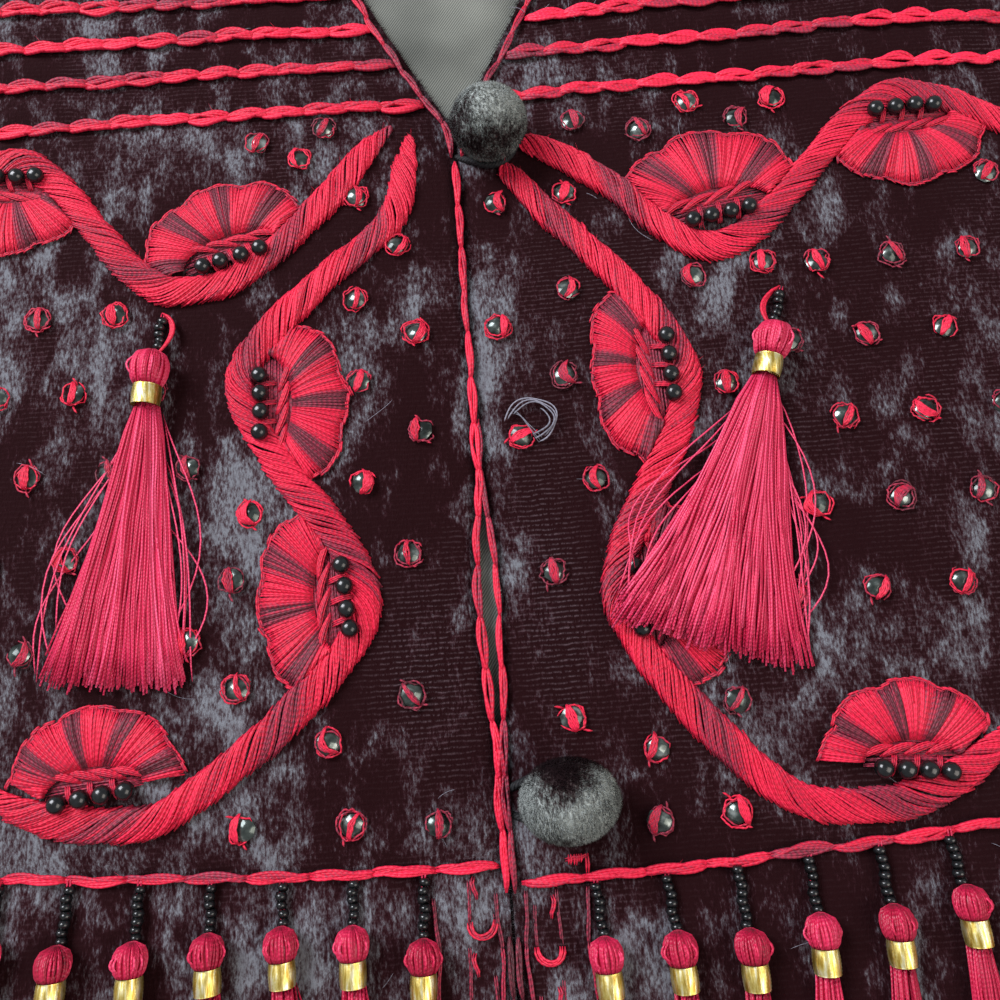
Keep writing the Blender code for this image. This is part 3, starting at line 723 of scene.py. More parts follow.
def chain(
    threads, side, points, link=LINK, pitch=LINK_PITCH, width=LINK_WIDTH, tone=0.75,
    fine=1.0, ply=3, sides=4,
):
    """Chain stitch along a line of plan points on one front."""
    route = walk(points, 0.5)
    total = route[2][-1]
    count = max(1, int((total - link) / pitch) + 1)
    t = np.linspace(0, 1, LINK_POINTS if sides > 3 else LINK_POINTS - 1)
    leaf = np.sin(np.pi * t ** 1.25) ** 0.8
    for number in range(count):
        start = number * pitch + rng.uniform(-0.5, 0.5)
        skew = rng.uniform(-0.35, 0.35)
        shade = tone + 0.16 * math.sin(number * 0.9 + total) + rng.uniform(-0.1, 0.1)
        for leg in (-1, 1):
            fat = width * rng.choice([0.2, 0.26, 0.31, 0.44])
            for strand in np.arange(ply) - (ply - 1) / 2:
                along = np.clip(start + link * t, 0, total)
                twist = strand * STRAND * fine * 1.35 * np.cos(4 * t + leg + 0.6 * number)
                off = leg * fat * leaf + twist + skew * np.sin(np.pi * t)
                lift = 0.35 + 0.8 * np.sin(np.pi * t ** 0.7) + 0.3 * np.abs(np.sin(4 * t + strand))
                line = lay(side, *beside(route, along, off), lift)
                # Painted light and shade: one leg of each link is lighter and the other darker, and the
                # strands step in tone across the leg.
                bright = shade + (0.08 if leg > 0 else -0.08) + 0.05 * strand
                threads.thread(line, STRAND * fine, bright, sides)
                if strand == 0.0:
                    lint(threads, line, 3, tone)


def row_points(side, number):
    """A chest row, from the neck edge to the armhole."""
    y = ROW_FIRST + ROW_PITCH * number
    first = float(inner_edge(side, y)) + 3.0
    last = float(outer_edge(side, y)) - 4.0
    d = np.linspace(first, last, 60)
    return np.stack([side * d, row_y(number, d)], axis=1)


for side, hand in HANDS.items():
    threads = Threads()
    for number in range(ROW_COUNT):
        shade = 0.72 if number % 2 else 0.84
        chain(threads, side, row_points(side, number), tone=shade, sides=4 if number < 4 else 3)
    ys = np.linspace(-92, 168, 180)
    inset = np.interp(ys, [5, 30, 50, 84, 97, 106], [0.4, 0.1, -0.6, -0.6, 0.1, 0.0 if side < 0 else 0.4])
    line = np.stack([side * (inner_edge(side, ys) + inset), ys], axis=1)
    if side < 0:
        chain(threads, side, line[ys > -3], 12.5, 10.6, 1.5, 0.8, 0.72, 2)
    else:
        chain(threads, side, line[(ys > -3) & (ys < 98)], 12.5, 10.6, 1.2, 0.66, 0.62, 2)
    chain(threads, side, line[ys < 1], 11.0, 10.2, 1.1, 0.34, 0.5, 2)
    ys = np.linspace(160, 374, 130)
    line = np.stack([side * (inner_edge(side, ys) + np.interp(ys, [160, 178], [0.75, 2.3])), ys], axis=1)
    chain(threads, side, line, 11.0, 9.0, 1.3, 0.55, 0.66, 2)
    d = np.linspace(1.8, float(outer_edge(side, 10)) - 3, 120)
    chain(threads, side, np.stack([side * d, waist_y(side, d)], axis=1), 13.0, 12.0, 1.5, 0.74, 0.76)
    threads.piece("chain_stitch_" + hand, rayon, "thread")

# %% [markdown]
# ## Vines in satin stitch
# Satin stitch lays threads side by side over a padding cord. Each stitch crosses the band at
# a slant, dips into the cloth at both edges and stands highest in the middle. The route is
# the one that the raised solid follows: cubic curves through a few turns. The dye changes
# slowly along the thread, so neighbouring stitches share a tone.

# %% Vines

UPPER_VINE = {
    1: [
        (18.9, 160.4, -27, 22), (37.5, 146.3, -50, 24), (57.5, 131, 0, 26), (104, 166, 0, 46),
        (171, 106, -96, 64), (149, 56, -90, 36), (178, 26, -20, 34),
    ],
    -1: [
        (14.8, 169.3, -49, 26), (46, 136.2, -37, 28), (66, 130, 6, 26), (104, 166, 0, 46),
        (171, 106, -96, 64), (149, 56, -90, 36), (178, 26, -20, 34),
    ],
}
LOWER_VINE = {
    1: [
        (13.0, 152.2, -54, 30), (46.7, 102, -86, 40), (26.6, 54, -91, 36), (52, 15.5, -44, 30),
        (76, 9.5, 4, 26), (104, 26, 42, 30),
    ],
    -1: [
        (10.4, 167.0, -86, 24), (19, 141.5, -42, 20), (51.4, 107, -86, 34), (25.2, 57, -90, 34),
        (58, 22.5, -34, 36), (78, 16.5, 4, 26), (104, 28, 42, 30),
    ],
}
TUCK = {1: 5.0, -1: 0.0}
VINE_HALF = 2.9
STITCH_PITCH = 0.4
STITCH_RADIUS = 0.26
SLANT = -6.0
DYE_STRETCH = 7.0


def vine_route(turns):
    """Plan points of a vine through its turns: x, y, heading and pull."""
    out = []
    t = np.linspace(0, 1, 60)[:, None]
    for start, end in zip(turns, turns[1:]):
        pull = (start[3] + end[3]) / 6
        leave = np.radians(start[2])
        arrive = np.radians(end[2])
        a = np.array(start[:2], float)
        d = np.array(end[:2], float)
        b = a + pull * np.array([np.cos(leave), np.sin(leave)])
        c = d - pull * np.array([np.cos(arrive), np.sin(arrive)])
        out.append((1 - t) ** 3 * a + 3 * (1 - t) ** 2 * t * b + 3 * (1 - t) * t * t * c + t ** 3 * d)
    return np.concatenate([part[:-1] for part in out] + [out[-1][-1:]])


def dye(reach, phase):
    """Slow change of the dye along a thread, 0 to 1."""
    wave = np.sin(reach / DYE_STRETCH + phase) + 0.6 * np.sin(reach / (0.43 * DYE_STRETCH) + 2 * phase)
    return 0.5 + 0.5 * np.clip(wave, -1, 1)


def satin_band(threads, side, points, phase, tip):
    """Satin stitch along a vine, which widens from its tip as if tip millimetres had run before."""
    route = walk(points, STITCH_PITCH)
    reach = route[2]
    total = reach[-1]
    count = len(reach)
    taper = np.clip(np.minimum(reach + tip, total - reach) / 16, 0.12, 1)
    uneven = 1.12 + 0.1 * np.sin(reach / 8.1 + phase) + 0.05 * np.sin(reach / 2.3 + phase)
    half = VINE_HALF * taper * uneven
    u = np.linspace(-1, 1, 7)
    ragged = np.where(u < 0, rng.normal(0, 0.06, (count, 1)), rng.normal(0, 0.06, (count, 1))) * np.abs(u)
    bow = rng.normal(0, 0.2, (count, 1)) * (1 - u ** 2)
    lean = SLANT * taper * (1 + rng.normal(0, 0.07, count))
    along = reach[:, None] + lean[:, None] * u[None, :] + rng.normal(0, 0.25, (count, 1))
    across = half[:, None] * (np.sin(1.4 * u)[None, :] / np.sin(1.4) + ragged) + bow
    x, y = beside(route, np.clip(along, 0, total), across)
    crown = 1.35 * taper[:, None] * np.sqrt(np.clip(1 - u ** 2, 0, 1))[None, :] + 0.1
    crown = crown + rng.uniform(0, 0.3, (count, 1))
    tone = 0.52 + 0.38 * dye(reach, phase) ** 0.6 + rng.normal(0, 0.09, count)
    lines = lay(side, side * x, y, crown)
    threads.tubes(lines, STITCH_RADIUS, tone, taper=0.8)
    for line, shade in zip(lines[::2], tone[::2]):
        lint(threads, line, 2, float(np.clip(shade, 0, 1)))


def tucked(route, reach):
    """The same route begun further back, so that it comes out from under a button."""
    back = (route[0] - route[1]) / np.linalg.norm(route[0] - route[1])
    return np.concatenate([[route[0] + reach * back], route])


routes = {
    side: {
        "upper": tucked(vine_route(UPPER_VINE[side]), TUCK[side]),
        "lower": tucked(vine_route(LOWER_VINE[side]), TUCK[side]),
    }
    for side in (1, -1)
}
all_routes = {side: np.concatenate(list(pair.values())) for side, pair in routes.items()}
for side, hand in HANDS.items():
    for number, (branch, route) in enumerate(routes[side].items()):
        threads = Threads()
        satin_band(threads, side, route, 1.3 * number + 0.8 * side, 3 + 0.8 * TUCK[side])
        threads.piece("satin_vine_" + branch + "_" + hand, rayon, "thread", "vine_" + branch + "_" + hand)

# %% [markdown]
# ## Half flowers
# Each flower is a fan: long stitches from its heart to a scalloped rim, dyed light and dark
# by turns so that they read as petals, a rim of small stem stitches, and a heart with a row
# of round jet beads, short stitches between them and a couched cord.

# %% Half flowers

OUTER_FLOWERS = [
    ("arch", 104, 160, -90, 20, 0.1), ("outer_bend", 165.5, 103, 186, 19.5, 0.1),
    ("outer_crook", 154.6, 57, 4, 19, 0.1),
]
FLOWERS = {
    1: [
        ("cup", 58.6, 139.6, 99, 23, 0.08), ("bend", 41.4, 102.6, 180, 23, 0.34),
        ("crook", 31.8, 53, 0, 22, 0.16), ("tail", 80, 16.5, 84, 18, 0.1),
    ] + OUTER_FLOWERS,
    -1: [
        ("cup", 52.6, 138, 73, 20.8, 0.1), ("bend", 45, 101.2, 180, 21.5, 0.18),
        ("crook", 30.6, 57.5, -4, 22, 0.23), ("tail", 80, 23.5, 84, 18, 0.1),
    ] + OUTER_FLOWERS,
}
PETALS = 4
PETAL_STITCHES = 210
BEAD = 1.9
BEAD_PITCH = 4.4


def petal_reach(side, x, y, angle, wanted):
    """How far a stitch runs before it comes to the band of a vine."""
    reach = np.arange(0, wanted, 0.4)
    tips = np.stack([x + reach * math.cos(angle), y + reach * math.sin(angle)], axis=1)
    gap = np.linalg.norm(tips[:, None] - all_routes[side][None], axis=2).min(1)
    near = np.nonzero(gap < VINE_HALF + 0.1)[0]
    return reach[near[0]] if len(near) else wanted


def round_bead(beads, centre):
    """A round bead, a little flattened, with flat ends instead of poles."""
    rings = 8
    sides = 12
    tilt = np.linspace(-math.pi / 2, math.pi / 2, rings + 1)
    turn = math.tau * np.arange(sides) / sides
    points = np.stack([
        np.outer(np.cos(tilt), np.cos(turn)), np.outer(np.cos(tilt), np.sin(turn)),
        np.outer(np.sin(tilt) * 0.92, np.ones(sides)),
    ], axis=-1)
    faces, index = ring_faces(rings + 1, sides)
    beads.shape(np.asarray(centre) + points * BEAD * MM, faces[1:-1].reshape(-1, 4), 0.5)
    start = beads.count - index.size
    for ends in (index[1, ::-1], index[rings - 1]):
        beads.cap(ends + start)


def half_flower(threads, beads, side, x, y, facing, radius, flat, phase):
    """One flower: its petals, the rim, the heart's padding, the beads, and the stitches over them."""
    facing = math.radians(facing)
    heart = np.array([x, y], float)
    out = np.array([math.cos(facing), math.sin(facing)])
    aside = np.array([-math.sin(facing), math.cos(facing)])

    def put(spots, lift, thickness, tone):
        """One thread through (aside, out) spots given in millimetres from the heart."""
        spots = np.asarray(spots, float)
        x, y = (heart[:, None] + aside[:, None] * spots[:, 0] + out[:, None] * spots[:, 1])
        threads.thread(lay(side, side * x, y, lift), thickness, tone + rng.normal(0, 0.07))

    lines = []
    tones = []
    tips = []
    t = np.linspace(0, 1, 6)
    for number in range(PETAL_STITCHES):
        angle = math.pi * ((number + rng.uniform(-0.8, 0.8)) / (PETAL_STITCHES - 1) - 0.5)
        scallop = 0.92 + 0.08 * abs(math.cos(PETALS * angle)) ** 0.7
        wanted = radius * scallop * (1 - flat * math.cos(angle) ** 2)
        reach = petal_reach(side, x, y, facing + angle, wanted)
        start = radius / math.hypot(math.cos(angle) / 0.25, math.sin(angle) / 0.54)
        if reach < start + 1.5:
            continue
        bend = 0.05 * math.sin(2 * angle) + rng.normal(0, 0.015)
        d = start + (reach * (1 + rng.normal(0, 0.012)) - start) * t
        px = x + d * np.cos(facing + angle + bend * (1 - t))
        py = y + d * np.sin(facing + angle + bend * (1 - t))
        lift = 0.25 + 1.25 * np.sin(np.pi * np.clip(0.16 + 0.78 * t, 0, 1)) + rng.uniform(0, 0.22)
        lines.append(lay(side, side * px, py, lift))
        band = math.cos(2 * PETALS * angle + phase)
        tones.append(0.84 - 0.5 * (0.5 + 0.5 * math.tanh(5 * (band - 0.45))) + rng.normal(0, 0.1))
        if reach > 0.93 * wanted:
            tips.append((px[-1], py[-1]))
    threads.tubes(np.array(lines), 0.28, tones, taper=0.5)
    rim, ahead, reach = walk(np.array(tips)[::3], 1.7)
    for lane, tone in ((0.15, 0.74), (-0.2, 0.6)):
        s = np.linspace(-1.3, 1.3, 6)[None, :]
        swing = lane + 0.1 * s + rng.normal(0, 0.08, (len(rim), 1))
        px = rim[:, :1] + s * ahead[:, :1] + swing * ahead[:, 1:]
        py = rim[:, 1:] + s * ahead[:, 1:] - swing * ahead[:, :1]
        lift = 0.45 + 0.3 * (1 - (s / 1.3) ** 2) * np.ones_like(px)
        shade = tone + rng.normal(0, 0.10, len(rim))
        threads.tubes(lay(side, side * px, py, lift), 0.22, shade)
    s = np.linspace(0, 1, 6)
    for number in range(22):
        depth = -0.04 + 0.31 * number / 21
        wide = 0.54 * math.sqrt(max(0.05, 1 - (max(depth, 0) / 0.30) ** 2))
        spots = np.stack([radius * wide * (2 * s - 1), np.full(6, depth * radius)], axis=1)
        spots[:, 1] += rng.normal(0, 0.25) * (2 * s - 1)
        put(spots, 0.2 + 0.35 * np.sin(np.pi * s) + rng.uniform(0, 0.2), 0.28, 0.42)
    for number in range(4):
        shift = (number - 1.5) * BEAD_PITCH + rng.normal(0, 0.2)
        spot = heart + aside * shift - out * (0.06 * radius + rng.normal(0, 0.15))
        base = lay(side, [side * spot[0]], [spot[1]], [0.0])[0]
        round_bead(beads, base + np.array([0, 0, (BEAD + 0.5) * MM]))
    s = np.linspace(0, 1, 8)
    for number in range(4):
        first = np.array([-0.52 + 0.24 * number, 0.25 - 0.02 * number]) * radius
        last = first + np.array([0.40, -0.15]) * radius
        for strand in range(4):
            side_step = 0.34 * (strand - 1.5)
            spots = first + (last - first) * s[:, None]
            spots[:, 0] += 0.4 * side_step
            spots[:, 1] += side_step * np.sin(np.pi * np.clip(s, 0.08, 0.92)) + 0.5 * np.sin(np.pi * s)
            lift = 0.6 + (0.9 - 0.1 * (strand - 1.5) ** 2) * np.sin(np.pi * np.clip(s, 0.05, 0.95))
            put(spots, lift, 0.22, 0.72)
    for number in range(3):
        u = (number - 1) * BEAD_PITCH
        for strand in (-0.5, 0.0, 0.5):
            spots = np.array([u - 0.6, 0.10 * radius]) + s[:, None] * np.array([1.0, -0.24 * radius])
            spots[:, 0] += 0.8 * strand
            put(spots, 0.6 + 1.1 * np.sin(np.pi * np.clip(s, 0.05, 0.95)), 0.22, 0.7)


beads = Threads()
for side, hand in HANDS.items():
    for number, (flower, x, y, facing, radius, flat) in enumerate(FLOWERS[side]):
        threads = Threads()
        half_flower(threads, beads, side, x, y, facing, radius, flat, 0.9 * number + side)
        name = flower + "_" + hand
        threads.piece("satin_flower_" + name, rayon, "thread", "flower_" + name)
beads.piece("round_beads", jet, "bead")

# %% [markdown]
# ## Mirrors
# Small cut discs are held by a ring of thread and one or two stitches straight across. Those
# near the centre front have places of their own; the rest of each front is sprinkled on a
# staggered grid, wherever the embroidery leaves room.

# %% Mirrors

MIRROR_RADIUS = 2.4
MIRROR_PITCH = 21.0
MIRRORS = {
    -1: [
        (47, 167), (37, 162), (31, 170), (24, 151), (15, 138), (25, 125), (12, 116), (25, 105), (12, 93),
        (25, 82), (16, 66), (49, 77), (53, 63), (52, 41), (34, 29), (17, 37), (51, 14), (30, 13), (13, 12),
    ],
    1: [
        (28, 167), (24, 148), (8, 147), (43, 163), (55, 169), (66, 163.5), (75, 168), (23, 123.5),
        (6.5, 116), (51, 124), (67, 126), (20, 103), (9.5, 90), (24.5, 79), (14, 60), (55, 98),
        (48, 31), (31, 23), (15, 30), (30, 9.5), (45, 10),
    ],
}


def sprinkled(side):
    """Mirror places on the rest of a front, clear of vines, flowers and tassels."""
    out = []
    for j in range(9):
        for i in range(12):
            x = 62 + MIRROR_PITCH * i * 0.8 + (8.0 if j % 2 else 0.0)
            y = 14 + 18.5 * j
            if y > 168 or (y > 150 and x < 84) or x > float(outer_edge(side, y)) - 12:
                continue
            near_vine = np.linalg.norm(all_routes[side] - np.array([x, y]), axis=1).min() < 8
            near_flower = any(
                math.hypot(
                    x - fx - 8 * math.cos(math.radians(f)), y - fy - 8 * math.sin(math.radians(f)),
                ) < 16
                for _, fx, fy, f, _, _ in FLOWERS[side]
            )
            if not near_vine and not near_flower:
                out.append((x, y))
    return out


def mirror(glass, threads, side, x, y):
    """One cut disc, the laps of thread round it, the stitches across it and their loose ends."""
    centre = lay(side, [side * x], [y], [0.5])[0]
    turn = math.tau * np.arange(8) / 8 + rng.uniform(0, 0.8)
    radius = MIRROR_RADIUS * rng.uniform(0.95, 1.1) * MM
    lean = rng.normal(0, 0.15, 2)
    points = [centre + np.array([radius * np.cos(a), radius * np.sin(a), 0]) for a in turn]
    top = centre + np.array([0, 0, 0.95 * MM])
    points += [top + np.array([0.52 * radius * np.cos(a), 0.52 * radius * np.sin(a), 0]) for a in turn]
    points = np.array(points)
    points[:, 2] += (points[:, :2] - centre[:2]) @ lean
    skirt = [(i, (i + 1) % 8, 8 + (i + 1) % 8, 8 + i) for i in range(8)]
    glass.shape(points, skirt, 0.5)
    glass.cap(np.arange(8, 16) + glass.count - 16)
    tone = rng.choice([0.42, 0.6, 0.78])
    first = rng.uniform(0, math.tau)
    for lap in range(rng.integers(2, 5)):
        sweep = rng.uniform(1.6, 5.0) if lap else rng.uniform(4.0, 6.2)
        around = first + 1.9 * lap + np.linspace(0, sweep, 15)
        ragged = 0.2 * np.sin(3 * around + first + 2 * lap) + rng.normal(0, 0.13, 15)
        d = MIRROR_RADIUS + 0.05 + 0.2 * lap + ragged
        lift = 0.8 + 0.35 * np.sin(5 * around + lap + first) * (lap > 0) + 0.25 * (lap == 0)
        line = lay(side, side * x + d * np.cos(around), y + d * np.sin(around), lift)
        threads.thread(line, 0.21, tone + rng.normal(0, 0.1))
    heading = 1.5 + rng.normal(0, 0.4)
    shift = rng.normal(0, 0.7)
    t = np.linspace(-1.1, 1.25, 9)
    bow = 0.7 * rng.normal() * (1 - t ** 2)
    for strand in range(rng.integers(4, 8)):
        aside = shift + bow + 0.3 * (strand - 2.0) * np.cos(1.2 * t) + rng.normal(0, 0.08, 9)
        px = side * x + MIRROR_RADIUS * t * math.cos(heading) - aside * math.sin(heading)
        py = y + MIRROR_RADIUS * t * math.sin(heading) + aside * math.cos(heading)
        lift = 0.7 + 1.15 * np.sqrt(np.clip(1 - (t / 1.26) ** 2, 0, 1))
        line = lay(side, px, py, lift)
        threads.thread(line, 0.23, tone + 0.15 + rng.normal(0, 0.08))
    for end in range(rng.integers(0, 3)):
        s = np.linspace(0, 1, 6)
        away = heading + (0 if end else math.pi) + rng.normal(0, 0.35)
        d = MIRROR_RADIUS + rng.uniform(0.8, 2.2) * s
        line = lay(side, side * x + d * np.cos(away + 0.3 * s), y + d * np.sin(away + 0.3 * s), 0.5 + 0.5 * s)
        threads.thread(line, 0.25, tone)


for side, hand in HANDS.items():
    glass = Threads()
    threads = Threads()
    places = MIRRORS[side] + sprinkled(side)
    for x, y in places:
        mirror(glass, threads, side, x, y)
    glass.piece("mirrors_" + hand, mirror_glass, "mirror")
    threads.piece("mirror_stitches_" + hand, rayon, "thread")
    print(hand, len(places), "mirrors")

# %% [markdown]
# ## Tassels
# A tassel starts as a string of seed beads, then silk is folded over the string: a soft ball
# of threads above, gilt foil wound round the neck, and a skirt of cut threads. In the skirt
# every thread keeps its place in the bundle, which spreads and flattens on the cloth.

# %% Tassels


def ground(side, x, y):
    """Height in metres of the velvet and the raised embroidery under a tassel."""
    flat = np.stack([np.ravel(x) * side, np.ravel(y)], axis=1)
    gap = np.linalg.norm(flat[:, None] - all_routes[side][None], axis=2).min(1)
    work = 1.5 * np.clip(1.8 - gap / (VINE_HALF + 0.4), 0, 1)
    for _, fx, fy, facing, radius, _ in FLOWERS[side]:
        turn = math.radians(facing)
        out = (flat[:, 0] - fx) * math.cos(turn) + (flat[:, 1] - fy) * math.sin(turn)
        aside = np.abs((flat[:, 1] - fy) * math.cos(turn) - (flat[:, 0] - fx) * math.sin(turn))
        fan = np.clip((radius + 3 - np.hypot(out, aside)) / 3, 0, 1) * np.clip((out + 4) / 3, 0, 1)
        row = np.hypot(out, np.maximum(aside - 0.4 * radius, 0))
        work = np.maximum(work, np.maximum(1.5 * fan, 4.3 * np.clip(1.9 - row / 4.5, 0, 1)))
    return skins[side].height(x, y) + MM * work.reshape(np.shape(x))


def flare(t):
    """Width of a skirt down its length: it opens at once, then again where it meets the cloth."""
    return 0.5 * t ** 0.7 + 0.5 * t ** 2


def bead_string(threads, spot, side, ahead, sizes):
    """Seed beads on two threads, from the root of a tassel to its head."""
    seed = sizes["seed"]
    stem = sizes["stem"]
    count = round(stem / sizes["pitch"])
    for number in range(count):
        along = (number + 0.5) * stem / count
        lift = seed + 0.15 + 0.12 * math.sin(2.1 * number)
        centre = spot(along, 0.25 * math.sin(1.7 * number + side), lift)
        seed_bead(seed_beads, centre, ahead, seed * rng.uniform(0.93, 1.08))
    s = np.linspace(-1.5, stem + 1.5, 12)
    for lap in (-0.3, 0.3):
        threads.thread(spot(s, lap * np.ones_like(s), seed + 0.1), 0.22, 0.5, 4)


def tassel_head(threads, spot, sizes, tone):
    """A ball of folded threads round a solid core, with a few looser laps and the gilt band."""
    top = sizes["stem"]
    head = sizes["head"]
    neck = sizes["neck"]
    ball = sizes["ball"]
    laps = sizes["laps"]
    middle = ball + 0.25
    lowered = 0.25 * (1 - neck / ball)
    a = math.tau * (np.arange(laps) + rng.uniform(-0.3, 0.3, laps)) / laps
    t = np.linspace(0, 1, 7)
    belly = np.interp(t, [0, 0.12, 0.4, 0.75, 1], [0.25, 0.72, 1.0, 0.93, neck / ball]) * ball
    twist = rng.normal(0, 0.14, laps)
    angle = a[:, None] + twist[:, None] * t[None, :]
    along = top - 0.4 + head * t[None, :] + 0 * angle
    off = belly[None, :] * np.cos(angle)
    lift = middle + belly[None, :] * np.sin(angle) - lowered
    shade = tone + rng.normal(0, 0.07, laps)
    threads.tubes(spot(along, off, np.maximum(lift, 0.25)), 0.36, shade)
    turn = math.tau * np.arange(12) / 12
    inner = 0.93 * belly[:, None]
    core = spot(top - 0.4 + head * t[:, None] + 0 * turn, inner * np.cos(turn), middle + inner * np.sin(turn))
    faces, index = ring_faces(len(t), len(turn))
    # The core is the same silk a little darker: painted shade between the laps.
    threads.shape(core, faces.reshape(-1, 4), max(0.0, tone - 0.12))
    for ends in (index[0, ::-1], index[-1]):
        threads.cap(ends + threads.count - index.size)
    s = np.linspace(0, 1, 9)
    for number in range(4):
        out = ball * np.sin(np.pi * (0.15 + 0.7 * s)) + rng.uniform(0.3, 0.8) * np.sin(np.pi * s)
        b = rng.uniform(0, math.tau)
        line = spot(top + head * (0.1 + 0.75 * s), out * math.cos(b), middle + out * abs(math.sin(b)))
        threads.thread(line, 0.26, tone + 0.2)
    wind_foil(spot, top + head - 0.5, sizes["band"], neck, middle - lowered)


def tassel_skirt(threads, spot, side, sizes, strands, tone, fan):
    """Cut threads that keep their places in a bundle, which spreads on the cloth, and stray ones."""
    neck = 0.9 * sizes["neck"]
    start = sizes["stem"] + sizes["head"] + sizes["band"] - 0.9
    reach = sizes["skirt"]
    radius = np.sqrt(rng.uniform(0, 1, strands))
    b = rng.uniform(0, math.tau, strands)
    u = radius * np.cos(b)
    h = radius * np.sin(b)
    t = np.linspace(0, 1, sizes["points"])
    wide = neck + (fan - neck) * flare(t)
    thick = neck + (sizes["floor"] - neck) * t ** 0.6
    length = reach * (1 - 0.10 * rng.uniform(0, 1, strands) ** 2 + 0.015 * rng.normal(0, 1, strands))
    stray = rng.normal(0, 1, (strands, 1))
    wave = 0.42 * np.sin(t[None, :] * 9 + rng.uniform(0, 6, (strands, 1))) * t[None, :] ** 0.7
    lock = 0.035 * fan * np.sin(9 * u[:, None] + 4 * t[None, :]) * np.sin(np.pi * t[None, :] ** 0.8)
    off = u[:, None] * wide[None, :] + stray * 0.35 * t[None, :] ** 2 + wave + lock
    lift = 0.25 + thick[None, :] * (1 + h[:, None]) + 0.12 * stray * t[None, :]
    along = start + length[:, None] * t[None, :]
    shade = tone + 0.08 * u * side + 0.06 * np.sin(7 * u) + rng.normal(0, 0.11, strands)
    lines = spot(along, off, np.maximum(lift, 0.25))
    threads.tubes(lines, sizes["thread"], shade, taper=0.8)
    s = np.linspace(0, 1, 14)
    for number in range(sizes["strays"]):
        first = rng.uniform(0.0, 0.45)
        down = first + (rng.uniform(0.75, 1.0) - first) * s
        edge = neck + (fan - neck) * flare(down)
        bulge = rng.uniform(0.3, 0.9) ** 2 * 0.2 * reach * np.sin(np.pi * s ** rng.uniform(0.8, 1.5))
        off = edge * rng.uniform(0.85, 0.98) + bulge + rng.uniform(-1, 3) * s ** 3
        lift = 0.6 + rng.uniform(0.5, 2.0) * np.sin(np.pi * s)
        line = spot(start + reach * down, -off if number % 3 else off, lift)
        threads.thread(line, 0.2, tone + 0.15)


def tassel(name, node, side, root, heading, sizes, strands, tone, fan):
    """One tassel: seed beads, head, band and skirt. Sizes are in millimetres."""
    turn = math.radians(heading)
    ahead = np.array([math.cos(turn), math.sin(turn)])
    aside = np.array([math.sin(turn), -math.cos(turn)])

    def spot(along, off, lift):
        """World points by their distance down the tassel, to its side and above the ground."""
        along = np.asarray(along, float)
        off = np.asarray(off, float)
        x = root[0] + ahead[0] * along + aside[0] * off
        y = root[1] + ahead[1] * along + aside[1] * off
        z = ground(side, x, y) + np.asarray(lift, float) * MM
        return np.stack([x * MM, WAIST + y * MM, z], axis=-1)

    threads = Threads()
    bead_string(threads, spot, side, ahead, sizes)
    tassel_head(threads, spot, sizes, tone)
    tassel_skirt(threads, spot, side, sizes, strands, tone, fan)
    threads.piece(name, silk, "silk", node)


def seed_bead(target, centre, ahead, radius):
    """A seed bead: a fat ring whose hole runs along the string."""
    turn = math.tau * np.arange(10) / 10
    ring = math.tau * np.arange(5) / 5
    along = 0.69 * radius * np.sin(ring)
    out = radius * (0.62 + 0.38 * np.cos(ring))
    forward = np.array([ahead[0], ahead[1], 0.0])
    beside = np.array([ahead[1], -ahead[0], 0.0])
    above = np.array([0.0, 0.0, 1.0])
    points = (
        along[None, :, None] * forward
        + out[None, :, None] * (np.cos(turn)[:, None, None] * beside + np.sin(turn)[:, None, None] * above)
    )
    index = np.arange(50).reshape(10, 5)
    across = np.roll(index, -1, axis=0)
    faces = np.stack([index, across, np.roll(across, -1, 1), np.roll(index, -1, 1)], axis=-1).reshape(-1, 4)
    target.shape(np.asarray(centre) + points * MM, faces, 0.5)


def wind_foil(spot, start, length, radius, middle):
    """Foil strip wound round the neck, each lap a low ridge."""
    laps = 7
    steps = 2 * laps + 1
    along = np.linspace(0, length, steps)
    girth = radius + 0.2 + 0.035 * (-1.0) ** np.arange(steps) + 0.15 * np.sin(np.pi * along / length)
    turn = math.tau * np.arange(18) / 18
    points = np.stack([
        spot(start + s + 0.12 * np.sin(turn), r * np.cos(turn), middle + r * np.sin(turn))
        for s, r in zip(along, girth)
    ])
    faces, _ = ring_faces(steps, len(turn))
    bands.shape(points, faces.reshape(-1, 4), 0.5)


SMALL = {
    "seed": 1.15, "pitch": 1.45, "stem": 11.0, "head": 5.8, "neck": 2.2, "ball": 3.0, "band": 4.4,
    "skirt": 33.0, "points": 6, "thread": 0.32, "floor": 0.9, "strays": 2, "laps": 42,
}
LARGE = {
    "seed": 1.25, "pitch": 1.6, "stem": 9.0, "head": 8.4, "neck": 2.7, "ball": 3.9, "band": 4.5,
    "skirt": 59.0, "points": 10, "thread": 0.26, "floor": 1.3, "strays": 14, "laps": 60,
}
seed_beads = Threads()
bands = Threads()
CHEST_TASSELS = ((1, "left", 69.4, 117.8, -109, 20.5), (-1, "right", 68, 123, -96, 14.5))
for side, hand, x, y, heading, fan in CHEST_TASSELS:
    root = (side * x, y)
    tassel("silk_chest_" + hand, "tassel_chest_" + hand, side, root, heading, LARGE, 720, 0.71, fan)
for side, hand in HANDS.items():
    for number in range(13):
        x = TASSEL_FIRST + TASSEL_PITCH * number
        heading = -90 + 2.6 * math.sin(1.1 * number + side)
        tag = hand + "_" + format(number + 1, "02d")
        root = (side * x, float(waist_y(side, x)) - 1.0)
        tone = 0.5 + 0.12 * math.sin(2.3 * number + side)
        sizes = dict(SMALL, stem=waist_stem(side, number))
        tassel("silk_waist_" + tag, "tassel_waist_" + tag, side, root, heading, sizes, 84, tone, 4.9)
seed_beads.piece("seed_beads", jet, "bead")
bands.piece("foil_bands", foil, "gold")

